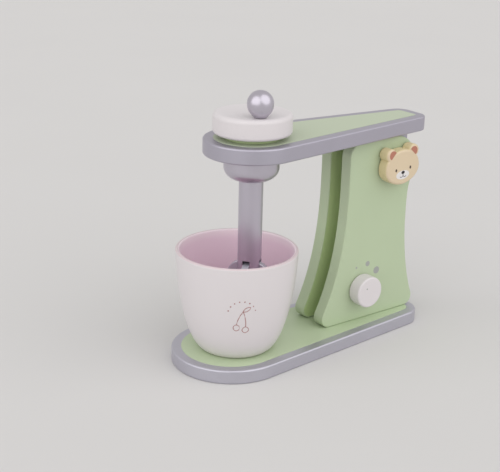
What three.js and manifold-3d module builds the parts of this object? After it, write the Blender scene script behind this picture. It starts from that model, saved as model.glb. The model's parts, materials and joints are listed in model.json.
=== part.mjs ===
// Wooden toy stand mixer. A head board tilts up on a pin between two side panels, a crank disc on top
// turns a shaft with a crossed whisk below, a dial turns on the column, and a loose bowl stands on
// the base.
// Millimetres, +Z up. X runs from the bowl end (-X) to the column (+X), and the dial side faces -Y.
// The origin lies on the ground, under the middle of the toy. Pieces are laid out from the whisk's axis.
import * as THREE from 'three';
import { mergeVertices } from 'three/addons/utils/BufferGeometryUtils.js';
import Module from 'manifold-3d';

const wasm = await Module();
wasm.setup();

// Clearances that every joint and seat shares
const SEAT_GAP = 0.3;
const CUT_OVERRUN = 2;

// Base board: a round nose under the bowl, straight sides and a narrower tail
const BASE_THICK = 12.7;
const BASE_NOSE_X = -18.8;
const BASE_NOSE_R = 53.3;
const BASE_TAIL_X = 188.6;
const BASE_TAIL_HALF = 37.3;
const BASE_CORNER_R = 20.6;
const BOARD_ROUND = 1.6;

// Head board: its nose is centred on the whisk's axis
const HEAD_THICK = 13.8;
const HEAD_NOSE_R = 42.5;
const HEAD_TAIL_X = 194;
const HEAD_TAIL_HALF = 21;
const HEAD_CORNER_R = 12.9;

// Side panels: two alike, with a hollow front edge, a waisted back and a rounded back top corner
const PANEL_THICK = 12.7;
const PANEL_SPACE = 15.2;
const PANEL_HEIGHT = 175.2;
const PANEL_ROUND = 1.2;
const PANEL_FOOT_FRONT_X = 71.3;
const PANEL_FOOT_BACK_X = 186.6;
const PANEL_FOOT_R = 9;
const PANEL_NECK_FRONT_X = 96.7;
const PANEL_NECK_R = 14;
const PANEL_WAIST_BACK_X = 171.2;
const PANEL_FRONT_FLARE_DEG = 26.7;
const PANEL_BACK_FLARE_DEG = 22.3;
const PANEL_ARC_START_DEG = -30;
// Heights and handle lengths of the two edge curves, as shares of the panel's height
const NECK_START_SHARE = 0.78;
const NECK_HANDLE_SHARE = 0.24;
const FLARE_HANDLE_SHARE = 0.25;
const WAIST_SHARE = 0.55;
const WAIST_HANDLE_SHARE = 0.17;
const BACK_HANDLE_SHARE = 0.14;
const ARC_HANDLE_SHARE = 0.055;

// Tilt hinge: a block under the head turns on a wooden pin, and a dowel stops it when it is open
const HINGE_X = 151;
const HINGE_DROP = 28.5;
const HINGE_PIN_R = 5;
const BLOCK_SIDE_GAP = 0.4;
const BLOCK_REACH = 28;
const BLOCK_BELOW_PIN = 15;
const BLOCK_CORNER_R = 7;
const BLOCK_DOWEL_R = 3;
const BLOCK_DOWEL_SPREAD = 18;
const BLOCK_DOWEL_DEPTH = 13;
const HEAD_DOWEL_DEPTH = 8;
const TILT_STOP_DEG = 62;
const STOP_DOWEL_R = 4;
const STOP_DOWEL_REACH = 27;
const CAP_R = 11;
const CAP_THICK = 8;
const CAP_ROUND = 2.5;
const PIN_SINK = 6;

// Cross dowel that holds the panels apart low down
const SPREADER_R = 5;
const SPREADER_X = 146;
const SPREADER_Z = 52;
const DOWEL_SINK = 6;

// Bear knob on the pin's near end: head outline, ears, and the small turn that it stands at
const BEAR_THICK = 12;
const BEAR_HALF_WIDTH = 21.2;
const BEAR_HALF_HEIGHT = 16.6;
const BEAR_RISE = 0.9;
const BEAR_EAR_R = 6.2;
const BEAR_EAR_X = 14.1;
const BEAR_EAR_Z = 13.4;
const BEAR_ROUND = 2.4;
const BEAR_TURN_DEG = -3;
// Handle lengths of the face outline, as shares of its half width and half height
const CHIN_HANDLE_SHARE = 0.46;
const CHEEK_DROP_SHARE = 0.08;
const CHEEK_LOW_SHARE = 0.56;
const CHEEK_HIGH_SHARE = 0.66;
const CROWN_HANDLE_SHARE = 0.6;

// Dial on the near panel, held by a screw and a washer from inside
const DIAL_R = 15;
const DIAL_THICK = 13.5;
const DIAL_ROUND = 1.8;
const DIAL_X = 117.6;
const DIAL_Z = 44.2;
const DIAL_SCREW_R = 2;
const DIAL_SCREW_GRIP = 7;
const DIAL_SCREW_HEAD_R = 4;
const DIAL_SCREW_HEAD_H = 2.4;
const WASHER_R = 5.5;
const WASHER_THICK = 1;

// Crank: disc, ball knob, shaft parts and friction washers, all about the whisk's axis
const DISC_R = 34.3;
const DISC_THICK = 18.4;
const DISC_LIFT = 4.2;
const DISC_TOP_ROUND = 4;
const DISC_UNDER_ROUND = 2.4;
const KNOB_R = 11.3;
const KNOB_CENTRE_H = 11.9;
const KNOB_FOOT_R = 5.5;
const KNOB_OFFSET = 23.5;
const KNOB_ANGLE_DEG = -112;
const KNOB_DOWEL_R = 3;
const KNOB_DOWEL_UP = 9;
const KNOB_DOWEL_DOWN = 10;
const TOP_WASHER_R = 14;
const SPINDLE_R = 6;
const SPINDLE_IN_DISC = 12.5;
const SPINDLE_IN_SHAFT = 20;
const HUB_R = 24.4;
const HUB_WASHER_R = 12;
const HUB_WASHER_THICK = 1;
const HUB_STRAIGHT = 9.9;
const HUB_DISH_H = 11.3;
const HUB_DISH_RUN = 12.6;
const HUB_SOCKET_DEPTH = 6;
const SHAFT_R = 10.7;
const SHAFT_END_Z = 76;

// Whisk: two flat loops with square shoulders and round ends, which cross in the shaft's slots
const WHISK_TURN_DEG = -32;
const WHISK_THICK = 6;
const WHISK_HALF = 22.6;
const WHISK_TOP_Z = 91;
const WHISK_WIDE_Z = 62;
const WHISK_LOW_Z = 30;
const WHISK_EDGE_ROUND = 0.8;
const WHISK_BAR = 6.5;
const SHOULDER_POWER = 2.6;
const END_POWER = 2.2;
const SLOT_SPARE = 1.8;

// Bowl: turned, with a thin round rim and a small flat foot, standing a little forward of the whisk's axis
const BOWL_X = -13.8;
const BOWL_RIM_R = 54.2;
const BOWL_HEIGHT = 92;
const BOWL_FOOT_R = 29.8;
const BOWL_WALL = 3.6;
const BOWL_FLOOR = 6.8;
// Handles of the wall curve: run along the floor as a share of the rim radius, and a point on the wall
// as shares of the rim radius and the height
const BOWL_FLOOR_HANDLE_SHARE = 0.15;
const BOWL_WALL_HANDLE_SHARES = [0.955, 0.33];

// Wood screws that hold the panels from below
const SCREW_R = 2;
const SCREW_HEAD_R = 4;
const SCREW_HEAD_H = 2.6;
const SCREW_GRIP = 22;
const SCREW_SINK = 0.8;
const SCREW_XS = [94, 164];

// Facets
const NOSE_STEPS = 36;
const CORNER_STEPS = 6;
const CURVE_STEPS = 9;
const ROUND_STEPS = 2;
const TURN_STEPS = 44;
const PIN_STEPS = 20;

// Colours of the paints and bare parts
const GREEN = 0xb3c2a5;
const SILVER = 0xa9a6b2;
const WHITE = 0xe4e0dd;
const BEIGE = 0xdcc8a6;
const BEECH = 0xd9b98c;
const STEEL = 0xb8bcc2;
const FELT = 0x8d8a86;
// How metallic the silver paint is
const SHEEN = 0.4;

// Heights that follow from the sizes above
const panelFootZ = BASE_THICK + SEAT_GAP;
const panelTopZ = panelFootZ + PANEL_HEIGHT;
const headUnderZ = panelTopZ + SEAT_GAP;
const headTopZ = headUnderZ + HEAD_THICK;
const hingeZ = headUnderZ - HINGE_DROP;
const discUnderZ = headTopZ + DISC_LIFT;
const discTopZ = discUnderZ + DISC_THICK;
const hubTopZ = headUnderZ - HUB_WASHER_THICK - 2 * SEAT_GAP;
const hubUnderZ = hubTopZ - HUB_STRAIGHT - HUB_DISH_H;
const shaftTopZ = hubUnderZ + HUB_SOCKET_DEPTH;
const innerY = PANEL_SPACE / 2;
const outerY = innerY + PANEL_THICK;
const toyMiddleX = (BASE_NOSE_X - BASE_NOSE_R + HEAD_TAIL_X) / 2;

// Points on an arc, both ends included
function arc(x, y, r, fromDeg, toDeg, steps) {
  const points = [];
  for (let i = 0; i <= steps; i += 1) {
    const a = THREE.MathUtils.degToRad(fromDeg + ((toDeg - fromDeg) * i) / steps);
    points.push(new THREE.Vector2(x + r * Math.cos(a), y + r * Math.sin(a)));
  }
  return points;
}

// Points on a cubic curve between two ends with two handles
function curve(a, b, c, d, steps) {
  const bend = new THREE.CubicBezierCurve(a, b, c, d);
  return bend.getPoints(steps);
}

// Drops points that fall on the one before, so that an outline has no edge without length
function cleaned(points) {
  const least = SEAT_GAP / 100;
  const kept = points.filter((p, i) => i === 0 || p.distanceTo(points[i - 1]) > least);
  if (kept[0].distanceTo(kept[kept.length - 1]) < least) kept.pop();
  return kept;
}

// A closed solid from a three.js geometry, with its shared corners merged
function solidOf(geometry) {
  const bare = geometry.clone();
  bare.deleteAttribute('normal');
  bare.deleteAttribute('uv');
  const merged = mergeVertices(bare, SEAT_GAP / 1000);
  const index = merged.index.array;
  const faces = [];
  for (let i = 0; i < index.length; i += 3) {
    const [a, b, c] = [index[i], index[i + 1], index[i + 2]];
    if (a !== b && b !== c && c !== a) faces.push(a, b, c);
  }
  return new wasm.Manifold(new wasm.Mesh({
    numProp: 3,
    vertProperties: new Float32Array(merged.attributes.position.array),
    triVerts: new Uint32Array(faces),
  }));
}

function geometryOf(solid) {
  const mesh = solid.getMesh();
  const geometry = new THREE.BufferGeometry();
  geometry.setAttribute('position', new THREE.BufferAttribute(mesh.vertProperties, 3));
  geometry.setIndex(new THREE.BufferAttribute(mesh.triVerts, 1));
  geometry.computeVertexNormals();
  return geometry;
}

// A flat piece with both edges rounded, from z = 0 up to its thickness
function slab(points, thick, round) {
  const geometry = new THREE.ExtrudeGeometry(new THREE.Shape(cleaned(points)), {
    depth: thick - 2 * round,
    bevelEnabled: round > 0,
    bevelThickness: round,
    bevelSize: round,
    bevelOffset: -round,
    bevelSegments: ROUND_STEPS,
    curveSegments: 1,
  });
  geometry.translate(0, 0, round);
  return geometry;
}

// The same slab stood upright: the outline's y becomes the height, and it reaches from y = 0 to -thickness
function upright(points, thick, round) {
  return slab(points, thick, round).rotateX(Math.PI / 2);
}

// A solid rod along z from low to high
function rod(r, low, high, steps = PIN_STEPS) {
  const geometry = new THREE.CylinderGeometry(r, r, high - low, steps);
  return geometry.rotateX(Math.PI / 2).translate(0, 0, (low + high) / 2);
}

// A solid rod along y at a place in x and z
function crossRod(r, low, high, x, z, steps = PIN_STEPS) {
  const geometry = new THREE.CylinderGeometry(r, r, high - low, steps);
  return geometry.translate(0, (low + high) / 2, 0).translate(x, 0, z);
}

// A round piece turned about z from an outline that closes on itself or on the axis
function turned(points, steps = TURN_STEPS) {
  return new THREE.LatheGeometry(points, steps).rotateX(Math.PI / 2);
}

function cut(solid, ...geometries) {
  return geometries.reduce((left, geometry) => left.subtract(solidOf(geometry)), solid);
}

function piece(name, shape, color, roughness = 0.5, metalness = 0) {
  const geometry = shape instanceof THREE.BufferGeometry ? geometryOf(solidOf(shape)) : geometryOf(shape);
  const mesh = new THREE.Mesh(geometry, new THREE.MeshStandardMaterial({ color, roughness, metalness }));
  mesh.name = name;
  return mesh;
}

// Outline of a board: a round nose, straight sides that run in, and rounded tail corners
function boardOutline(noseX, noseR, tailX, tailHalf, cornerR) {
  const cornerX = tailX - cornerR;
  const cornerY = tailHalf - cornerR;
  const reach = Math.hypot(cornerX - noseX, cornerY);
  const lean = Math.atan2(cornerY, cornerX - noseX) + Math.acos((noseR - cornerR) / reach);
  const leanDeg = THREE.MathUtils.radToDeg(lean);
  return [
    ...arc(noseX, 0, noseR, leanDeg, 360 - leanDeg, NOSE_STEPS),
    ...arc(cornerX, -cornerY, cornerR, -leanDeg, 0, CORNER_STEPS),
    ...arc(cornerX, cornerY, cornerR, 0, leanDeg, CORNER_STEPS),
  ];
}

// Side panel outline, with heights from the panel's foot
function panelOutline() {
  const v = (x, y) => new THREE.Vector2(x, y);
  const h = PANEL_HEIGHT;
  const pinZ = hingeZ - panelFootZ;
  const topR = h - pinZ;
  const frontFlare = THREE.MathUtils.degToRad(PANEL_FRONT_FLARE_DEG);
  const backFlare = THREE.MathUtils.degToRad(PANEL_BACK_FLARE_DEG);
  const footBack = arc(PANEL_FOOT_BACK_X - PANEL_FOOT_R, PANEL_FOOT_R, PANEL_FOOT_R, -90,
    PANEL_BACK_FLARE_DEG, CORNER_STEPS);
  const footFront = arc(PANEL_FOOT_FRONT_X + PANEL_FOOT_R, PANEL_FOOT_R, PANEL_FOOT_R,
    180 - PANEL_FRONT_FLARE_DEG, 270, CORNER_STEPS);
  const backStart = footBack[footBack.length - 1];
  const backHandle = BACK_HANDLE_SHARE * h;
  const waist = v(PANEL_WAIST_BACK_X, WAIST_SHARE * h);
  const waistHandle = WAIST_HANDLE_SHARE * h;
  const topArc = arc(HINGE_X, pinZ, topR, PANEL_ARC_START_DEG, 90, 2 * CORNER_STEPS);
  const arcDir = THREE.MathUtils.degToRad(PANEL_ARC_START_DEG + 90);
  const arcHandle = ARC_HANDLE_SHARE * h;
  const neck = v(PANEL_NECK_FRONT_X, NECK_START_SHARE * h);
  const flareHandle = FLARE_HANDLE_SHARE * h;
  const frontEnd = footFront[0];
  return [
    ...footBack,
    ...curve(backStart,
      v(backStart.x - backHandle * Math.sin(backFlare), backStart.y + backHandle * Math.cos(backFlare)),
      v(waist.x, waist.y - waistHandle), waist, CURVE_STEPS),
    ...curve(waist, v(waist.x, waist.y + arcHandle),
      v(topArc[0].x - arcHandle * Math.cos(arcDir), topArc[0].y - arcHandle * Math.sin(arcDir)),
      topArc[0], CORNER_STEPS),
    ...topArc,
    ...arc(PANEL_NECK_FRONT_X + PANEL_NECK_R, h - PANEL_NECK_R, PANEL_NECK_R, 90, 180, CORNER_STEPS),
    ...curve(neck, v(neck.x, neck.y - NECK_HANDLE_SHARE * h),
      v(frontEnd.x + flareHandle * Math.sin(frontFlare), frontEnd.y + flareHandle * Math.cos(frontFlare)),
      frontEnd, CURVE_STEPS),
    ...footFront,
  ];
}

// The stop dowel lies where the block's flat underside meets it at the stop angle
function stopDowelPlace() {
  const swing = Math.acos((BLOCK_BELOW_PIN + STOP_DOWEL_R) / STOP_DOWEL_REACH);
  const a = THREE.MathUtils.degToRad(270 - TILT_STOP_DEG) + swing;
  return { x: HINGE_X + STOP_DOWEL_REACH * Math.cos(a), z: hingeZ + STOP_DOWEL_REACH * Math.sin(a) };
}

const screwRise = SCREW_GRIP + BASE_THICK - SCREW_SINK;

// Countersunk wood screw, head down, with its head's face at z = 0
function screwShape(spare = 0) {
  const v = (x, y) => new THREE.Vector2(x, y);
  return turned([
    v(0, -spare * CUT_OVERRUN), v(SCREW_HEAD_R + spare, -spare * CUT_OVERRUN), v(SCREW_HEAD_R + spare, 0),
    v(SCREW_R + spare, SCREW_HEAD_H), v(SCREW_R + spare, screwRise - SCREW_R + spare),
    v(0, screwRise + spare),
  ], PIN_STEPS);
}

function makeBase() {
  const outline = boardOutline(BASE_NOSE_X, BASE_NOSE_R, BASE_TAIL_X, BASE_TAIL_HALF, BASE_CORNER_R);
  const board = solidOf(slab(outline, BASE_THICK, BOARD_ROUND));
  const holes = [];
  for (const x of SCREW_XS) {
    for (const side of [-1, 1]) {
      const y = side * (innerY + PANEL_THICK / 2);
      holes.push(screwShape(SEAT_GAP).translate(x, y, SCREW_SINK));
      holes.push(rod(SCREW_HEAD_R + SEAT_GAP, -CUT_OVERRUN, SCREW_SINK).translate(x, y, 0));
    }
  }
  return piece('base_board', cut(board, ...holes), SILVER, 0.45, SHEEN);
}

// One panel from y = 0 to -thickness, with its bores; side is -1 for the near panel and 1 for the far one
function makePanel(name, side) {
  const deep = PANEL_THICK + CUT_OVERRUN;
  const stop = stopDowelPlace();
  const pinZ = hingeZ - panelFootZ;
  const inner = side < 0 ? 0 : -PANEL_THICK;
  const sunk = DOWEL_SINK + SEAT_GAP;
  const sink = (r, x, z) => crossRod(r + SEAT_GAP, inner - sunk, inner + sunk, x, z);
  const holes = [
    crossRod(HINGE_PIN_R + SEAT_GAP, -deep, CUT_OVERRUN, HINGE_X, pinZ),
    sink(STOP_DOWEL_R, stop.x, stop.z - panelFootZ),
    sink(SPREADER_R, SPREADER_X, SPREADER_Z - panelFootZ),
  ];
  if (side < 0) {
    holes.push(crossRod(DIAL_SCREW_R + SEAT_GAP, -deep, CUT_OVERRUN, DIAL_X, DIAL_Z - panelFootZ));
  }
  for (const x of SCREW_XS) {
    holes.push(screwShape(SEAT_GAP).translate(x, -PANEL_THICK / 2, SCREW_SINK - panelFootZ));
  }
  const board = solidOf(upright(panelOutline(), PANEL_THICK, PANEL_ROUND));
  const mesh = piece(name, cut(board, ...holes), GREEN, 0.45);
  mesh.position.set(0, side < 0 ? -innerY : outerY, panelFootZ);
  return mesh;
}

// Bear's head: a wide round face with two round ears, centred on the pin
function bearSolid() {
  const v = (x, y) => new THREE.Vector2(x, y + BEAR_RISE);
  const [w, h] = [BEAR_HALF_WIDTH, BEAR_HALF_HEIGHT];
  const cheek = -CHEEK_DROP_SHARE * h;
  const widest = v(w, cheek);
  const half = [
    ...curve(v(0, -h), v(CHIN_HANDLE_SHARE * w, -h), v(w, cheek - CHEEK_LOW_SHARE * h), widest, CURVE_STEPS),
    ...curve(widest, v(w, cheek + CHEEK_HIGH_SHARE * h), v(CROWN_HANDLE_SHARE * w, h), v(0, h), CURVE_STEPS),
  ];
  const mirrored = half.map((p) => new THREE.Vector2(-p.x, p.y)).reverse();
  const face = solidOf(upright([...half, ...mirrored], BEAR_THICK, BEAR_ROUND));
  const earOutline = (side) => arc(side * BEAR_EAR_X, BEAR_EAR_Z + BEAR_RISE, BEAR_EAR_R, 0, 360, PIN_STEPS);
  const ears = [-1, 1].map((side) => solidOf(upright(earOutline(side), BEAR_THICK, BEAR_ROUND)));
  return face.add(ears[0]).add(ears[1]);
}

// A disc with rounded edges, turned about z from z = 0
function roundDisc(r, thick, round, steps) {
  return turned(cleaned([
    new THREE.Vector2(0, 0),
    ...arc(r - round, round, round, -90, 0, ROUND_STEPS),
    ...arc(r - round, thick - round, round, 0, 90, ROUND_STEPS),
    new THREE.Vector2(0, thick),
  ]), steps);
}

function makeBear() {
  const pinHole = crossRod(HINGE_PIN_R + SEAT_GAP, -PIN_SINK - SEAT_GAP, CUT_OVERRUN, 0, 0);
  const bear = piece('bear_knob', cut(bearSolid(), pinHole), BEIGE, 0.5);
  bear.rotation.y = THREE.MathUtils.degToRad(BEAR_TURN_DEG);
  bear.position.set(HINGE_X, -outerY - SEAT_GAP, hingeZ);
  return bear;
}

function makeHingePin() {
  const farEnd = 2 * outerY + 2 * SEAT_GAP + PIN_SINK;
  const pin = piece('hinge_pin', crossRod(HINGE_PIN_R, -PIN_SINK, farEnd, 0, 0), BEECH, 0.6);
  pin.position.set(HINGE_X, -outerY - SEAT_GAP, hingeZ);
  return pin;
}

function makeHingeCap() {
  const body = solidOf(roundDisc(CAP_R, CAP_THICK, CAP_ROUND, PIN_STEPS + CORNER_STEPS));
  const bore = rod(HINGE_PIN_R + SEAT_GAP, -CUT_OVERRUN, PIN_SINK + SEAT_GAP);
  const cap = piece('hinge_cap', cut(body, bore), GREEN, 0.45);
  cap.rotation.x = -Math.PI / 2;
  cap.position.set(HINGE_X, outerY + SEAT_GAP, hingeZ);
  return cap;
}

// Dial, its screw and its washer, about the dial's own axis, with y = 0 on the panel's outer face
function makeDial() {
  const group = new THREE.Group();
  const body = solidOf(roundDisc(DIAL_R, DIAL_THICK, DIAL_ROUND, TURN_STEPS).rotateX(Math.PI / 2));
  const grip = crossRod(DIAL_SCREW_R + SEAT_GAP, -DIAL_SCREW_GRIP - SEAT_GAP, CUT_OVERRUN, 0, 0);
  const dial = piece('dial_knob', cut(body, grip), WHITE, 0.4);
  dial.position.y = -SEAT_GAP;
  const washerY = PANEL_THICK + SEAT_GAP;
  const headY = washerY + WASHER_THICK + SEAT_GAP;
  const ring = solidOf(crossRod(WASHER_R, washerY, washerY + WASHER_THICK, 0, 0));
  const bore = crossRod(DIAL_SCREW_R + SEAT_GAP, washerY - CUT_OVERRUN, headY + CUT_OVERRUN, 0, 0);
  const washer = piece('dial_washer', cut(ring, bore), STEEL, 0.4, 1);
  const v = (x, y) => new THREE.Vector2(x, y);
  const tipY = -SEAT_GAP - DIAL_SCREW_GRIP;
  const crownY = headY + DIAL_SCREW_HEAD_H;
  const screw = piece('dial_screw', new THREE.LatheGeometry([
    v(0, tipY), v(DIAL_SCREW_R, tipY + DIAL_SCREW_R), v(DIAL_SCREW_R, headY), v(DIAL_SCREW_HEAD_R, headY),
    v(DIAL_SCREW_HEAD_R, (headY + crownY) / 2), v(DIAL_SCREW_HEAD_R / 2, crownY), v(0, crownY),
  ], PIN_STEPS), STEEL, 0.35, 1);
  group.add(dial, washer, screw);
  group.position.set(DIAL_X, -outerY, DIAL_Z);
  return group;
}

function makeCrossDowel(name, r, x, z) {
  return piece(name, crossRod(r, -innerY - DOWEL_SINK, innerY + DOWEL_SINK, x, z), BEECH, 0.6);
}

function makeScrew(name, x, side) {
  const screw = piece(name, screwShape(), STEEL, 0.35, 1);
  screw.position.set(x, side * (innerY + PANEL_THICK / 2), SCREW_SINK);
  return screw;
}

// Head board, with z = 0 on its underside
function makeHeadBoard() {
  const outline = boardOutline(0, HEAD_NOSE_R, HEAD_TAIL_X, HEAD_TAIL_HALF, HEAD_CORNER_R);
  const board = solidOf(slab(outline, HEAD_THICK, BOARD_ROUND));
  const holes = [rod(SPINDLE_R + SEAT_GAP, -CUT_OVERRUN, HEAD_THICK + CUT_OVERRUN)];
  for (const end of [-1, 1]) {
    holes.push(rod(BLOCK_DOWEL_R + SEAT_GAP, -CUT_OVERRUN, HEAD_DOWEL_DEPTH + SEAT_GAP)
      .translate(HINGE_X + end * BLOCK_DOWEL_SPREAD, 0, 0));
  }
  return piece('head_board', cut(board, ...holes), SILVER, 0.45, SHEEN);
}

// Hinge block glued under the head, with z = 0 on the head's underside and x = 0 at the pin
function makeHingeBlock() {
  const thick = PANEL_SPACE - 2 * BLOCK_SIDE_GAP;
  const lowZ = -HINGE_DROP - BLOCK_BELOW_PIN;
  const outline = [
    ...arc(BLOCK_REACH - BLOCK_CORNER_R, lowZ + BLOCK_CORNER_R, BLOCK_CORNER_R, -90, 0, CORNER_STEPS),
    new THREE.Vector2(BLOCK_REACH, -SEAT_GAP),
    new THREE.Vector2(-BLOCK_REACH, -SEAT_GAP),
    ...arc(-BLOCK_REACH + BLOCK_CORNER_R, lowZ + BLOCK_CORNER_R, BLOCK_CORNER_R, 180, 270, CORNER_STEPS),
  ];
  const block = solidOf(upright(outline, thick, 0).translate(0, thick / 2, 0));
  const holes = [crossRod(HINGE_PIN_R + SEAT_GAP, -thick, thick, 0, -HINGE_DROP)];
  for (const end of [-1, 1]) {
    holes.push(rod(BLOCK_DOWEL_R + SEAT_GAP, -BLOCK_DOWEL_DEPTH - SEAT_GAP, CUT_OVERRUN)
      .translate(end * BLOCK_DOWEL_SPREAD, 0, 0));
  }
  const mesh = piece('hinge_block', cut(block, ...holes), SILVER, 0.5, SHEEN);
  mesh.position.x = HINGE_X;
  return mesh;
}

function makeBlockDowel(name, end) {
  const dowel = piece(name, rod(BLOCK_DOWEL_R, -BLOCK_DOWEL_DEPTH, HEAD_DOWEL_DEPTH), BEECH, 0.6);
  dowel.position.x = HINGE_X + end * BLOCK_DOWEL_SPREAD;
  return dowel;
}

// Crank disc with its two edge rounds, a blind bore below and the knob's dowel hole on top
function makeDisc() {
  const body = solidOf(turned(cleaned([
    new THREE.Vector2(0, discUnderZ),
    ...arc(DISC_R - DISC_UNDER_ROUND, discUnderZ + DISC_UNDER_ROUND, DISC_UNDER_ROUND, -90, 0, ROUND_STEPS),
    ...arc(DISC_R - DISC_TOP_ROUND, discTopZ - DISC_TOP_ROUND, DISC_TOP_ROUND, 0, 90, 2 * ROUND_STEPS),
    new THREE.Vector2(0, discTopZ),
  ])));
  return piece('crank_disc', cut(body,
    rod(SPINDLE_R + SEAT_GAP, discUnderZ - CUT_OVERRUN, discUnderZ + SPINDLE_IN_DISC + SEAT_GAP),
    rod(KNOB_DOWEL_R + SEAT_GAP, discTopZ - KNOB_DOWEL_DOWN - SEAT_GAP, discTopZ + CUT_OVERRUN)
      .translate(KNOB_OFFSET, 0, 0)), WHITE, 0.4);
}

// Ball knob with a small foot, with z = 0 on the disc's top
function makeKnob() {
  const footDeg = -THREE.MathUtils.radToDeg(Math.acos(KNOB_FOOT_R / KNOB_R));
  const body = solidOf(turned(cleaned([
    new THREE.Vector2(0, SEAT_GAP),
    new THREE.Vector2(KNOB_FOOT_R, SEAT_GAP),
    ...arc(0, KNOB_CENTRE_H, KNOB_R, footDeg, 90, CURVE_STEPS),
  ]), PIN_STEPS + CORNER_STEPS));
  const knob = piece('crank_knob', cut(body,
    rod(KNOB_DOWEL_R + SEAT_GAP, -CUT_OVERRUN, KNOB_DOWEL_UP + SEAT_GAP)), SILVER, 0.3, SHEEN);
  knob.position.set(KNOB_OFFSET, 0, discTopZ);
  return knob;
}

function makeKnobDowel() {
  const dowel = piece('knob_dowel', rod(KNOB_DOWEL_R, -KNOB_DOWEL_DOWN, KNOB_DOWEL_UP), BEECH, 0.6);
  dowel.position.set(KNOB_OFFSET, 0, discTopZ);
  return dowel;
}

function makeWasher(name, r, low, high, color) {
  const bore = rod(SPINDLE_R + SEAT_GAP, low - CUT_OVERRUN, high + CUT_OVERRUN);
  return piece(name, cut(solidOf(rod(r, low, high, TURN_STEPS)), bore), color, 0.8);
}

// Dish-shaped hub under the head, with a socket for the shaft
function makeHub() {
  const v = (x, y) => new THREE.Vector2(x, y);
  const dish = arc(0, 0, 1, -90, 0, 3 * ROUND_STEPS).map((p) => v(
    HUB_R - HUB_DISH_RUN + HUB_DISH_RUN * p.x, hubUnderZ + HUB_DISH_H + HUB_DISH_H * p.y));
  const body = solidOf(turned(cleaned([v(0, hubUnderZ), ...dish, v(HUB_R, hubTopZ), v(0, hubTopZ)])));
  return piece('whisk_hub', cut(body,
    rod(SHAFT_R + SEAT_GAP, hubUnderZ - CUT_OVERRUN, shaftTopZ + SEAT_GAP, TURN_STEPS),
    rod(SPINDLE_R + SEAT_GAP, hubUnderZ, hubTopZ + CUT_OVERRUN)), SILVER, 0.35, SHEEN);
}

// Thick shaft with a bore on top and a cross slot in its lower end
function makeShaft() {
  const slotTop = WHISK_TOP_Z + SLOT_SPARE;
  const slotLow = SHAFT_END_Z - CUT_OVERRUN;
  const wide = WHISK_THICK + 2 * SEAT_GAP;
  const long = 2 * SHAFT_R + 2 * CUT_OVERRUN;
  const middle = (slotTop + slotLow) / 2;
  const slot = (x, y) => new THREE.BoxGeometry(x, y, slotTop - slotLow).translate(0, 0, middle);
  return piece('whisk_shaft', cut(solidOf(rod(SHAFT_R, SHAFT_END_Z, shaftTopZ, TURN_STEPS)),
    rod(SPINDLE_R + SEAT_GAP, shaftTopZ - SPINDLE_IN_SHAFT - SEAT_GAP, shaftTopZ + CUT_OVERRUN),
    slot(wide, long), slot(long, wide)), SILVER, 0.35, SHEEN);
}

function makeSpindle() {
  const low = shaftTopZ - SPINDLE_IN_SHAFT;
  return piece('spindle', rod(SPINDLE_R, low, discUnderZ + SPINDLE_IN_DISC), BEECH, 0.6);
}

// Outline of a whisk loop, set in by a margin: square shoulders above its widest height, a rounder
// end below
function loopOutline(margin) {
  const half = WHISK_HALF - margin;
  const bent = (share, power) => Math.sign(share) * Math.abs(share) ** (2 / power);
  const quarter = (rise, power, from, to) => arc(0, 0, 1, from, to, CURVE_STEPS).map(
    (p) => new THREE.Vector2(half * bent(p.x, power), WHISK_WIDE_Z + rise * bent(p.y, power)));
  const up = WHISK_TOP_Z - WHISK_WIDE_Z - margin;
  const down = WHISK_WIDE_Z - WHISK_LOW_Z - margin;
  return [
    ...quarter(up, SHOULDER_POWER, 0, 90), ...quarter(up, SHOULDER_POWER, 90, 180),
    ...quarter(down, END_POWER, 180, 270), ...quarter(down, END_POWER, 270, 360),
  ];
}

// One whisk loop. One of the two is cut through at the top and the other below, so that they slide
// into each other
function makeLoop(name, openTop) {
  const centred = (geometry, thick) => geometry.translate(0, thick / 2, 0);
  const deep = WHISK_THICK + 2 * CUT_OVERRUN;
  const outer = centred(upright(loopOutline(0), WHISK_THICK, WHISK_EDGE_ROUND), WHISK_THICK);
  const opening = centred(upright(loopOutline(WHISK_BAR), deep, 0), deep);
  const gapZ = openTop ? WHISK_TOP_Z - WHISK_BAR / 2 : WHISK_LOW_Z + WHISK_BAR / 2;
  const gap = new THREE.BoxGeometry(WHISK_THICK + 2 * SEAT_GAP, deep, WHISK_BAR + 2 * CUT_OVERRUN);
  const loop = piece(name, cut(solidOf(outer), opening, gap.translate(0, 0, gapZ)), SILVER, 0.35, SHEEN);
  loop.rotation.z = openTop ? 0 : Math.PI / 2;
  return loop;
}

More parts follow.
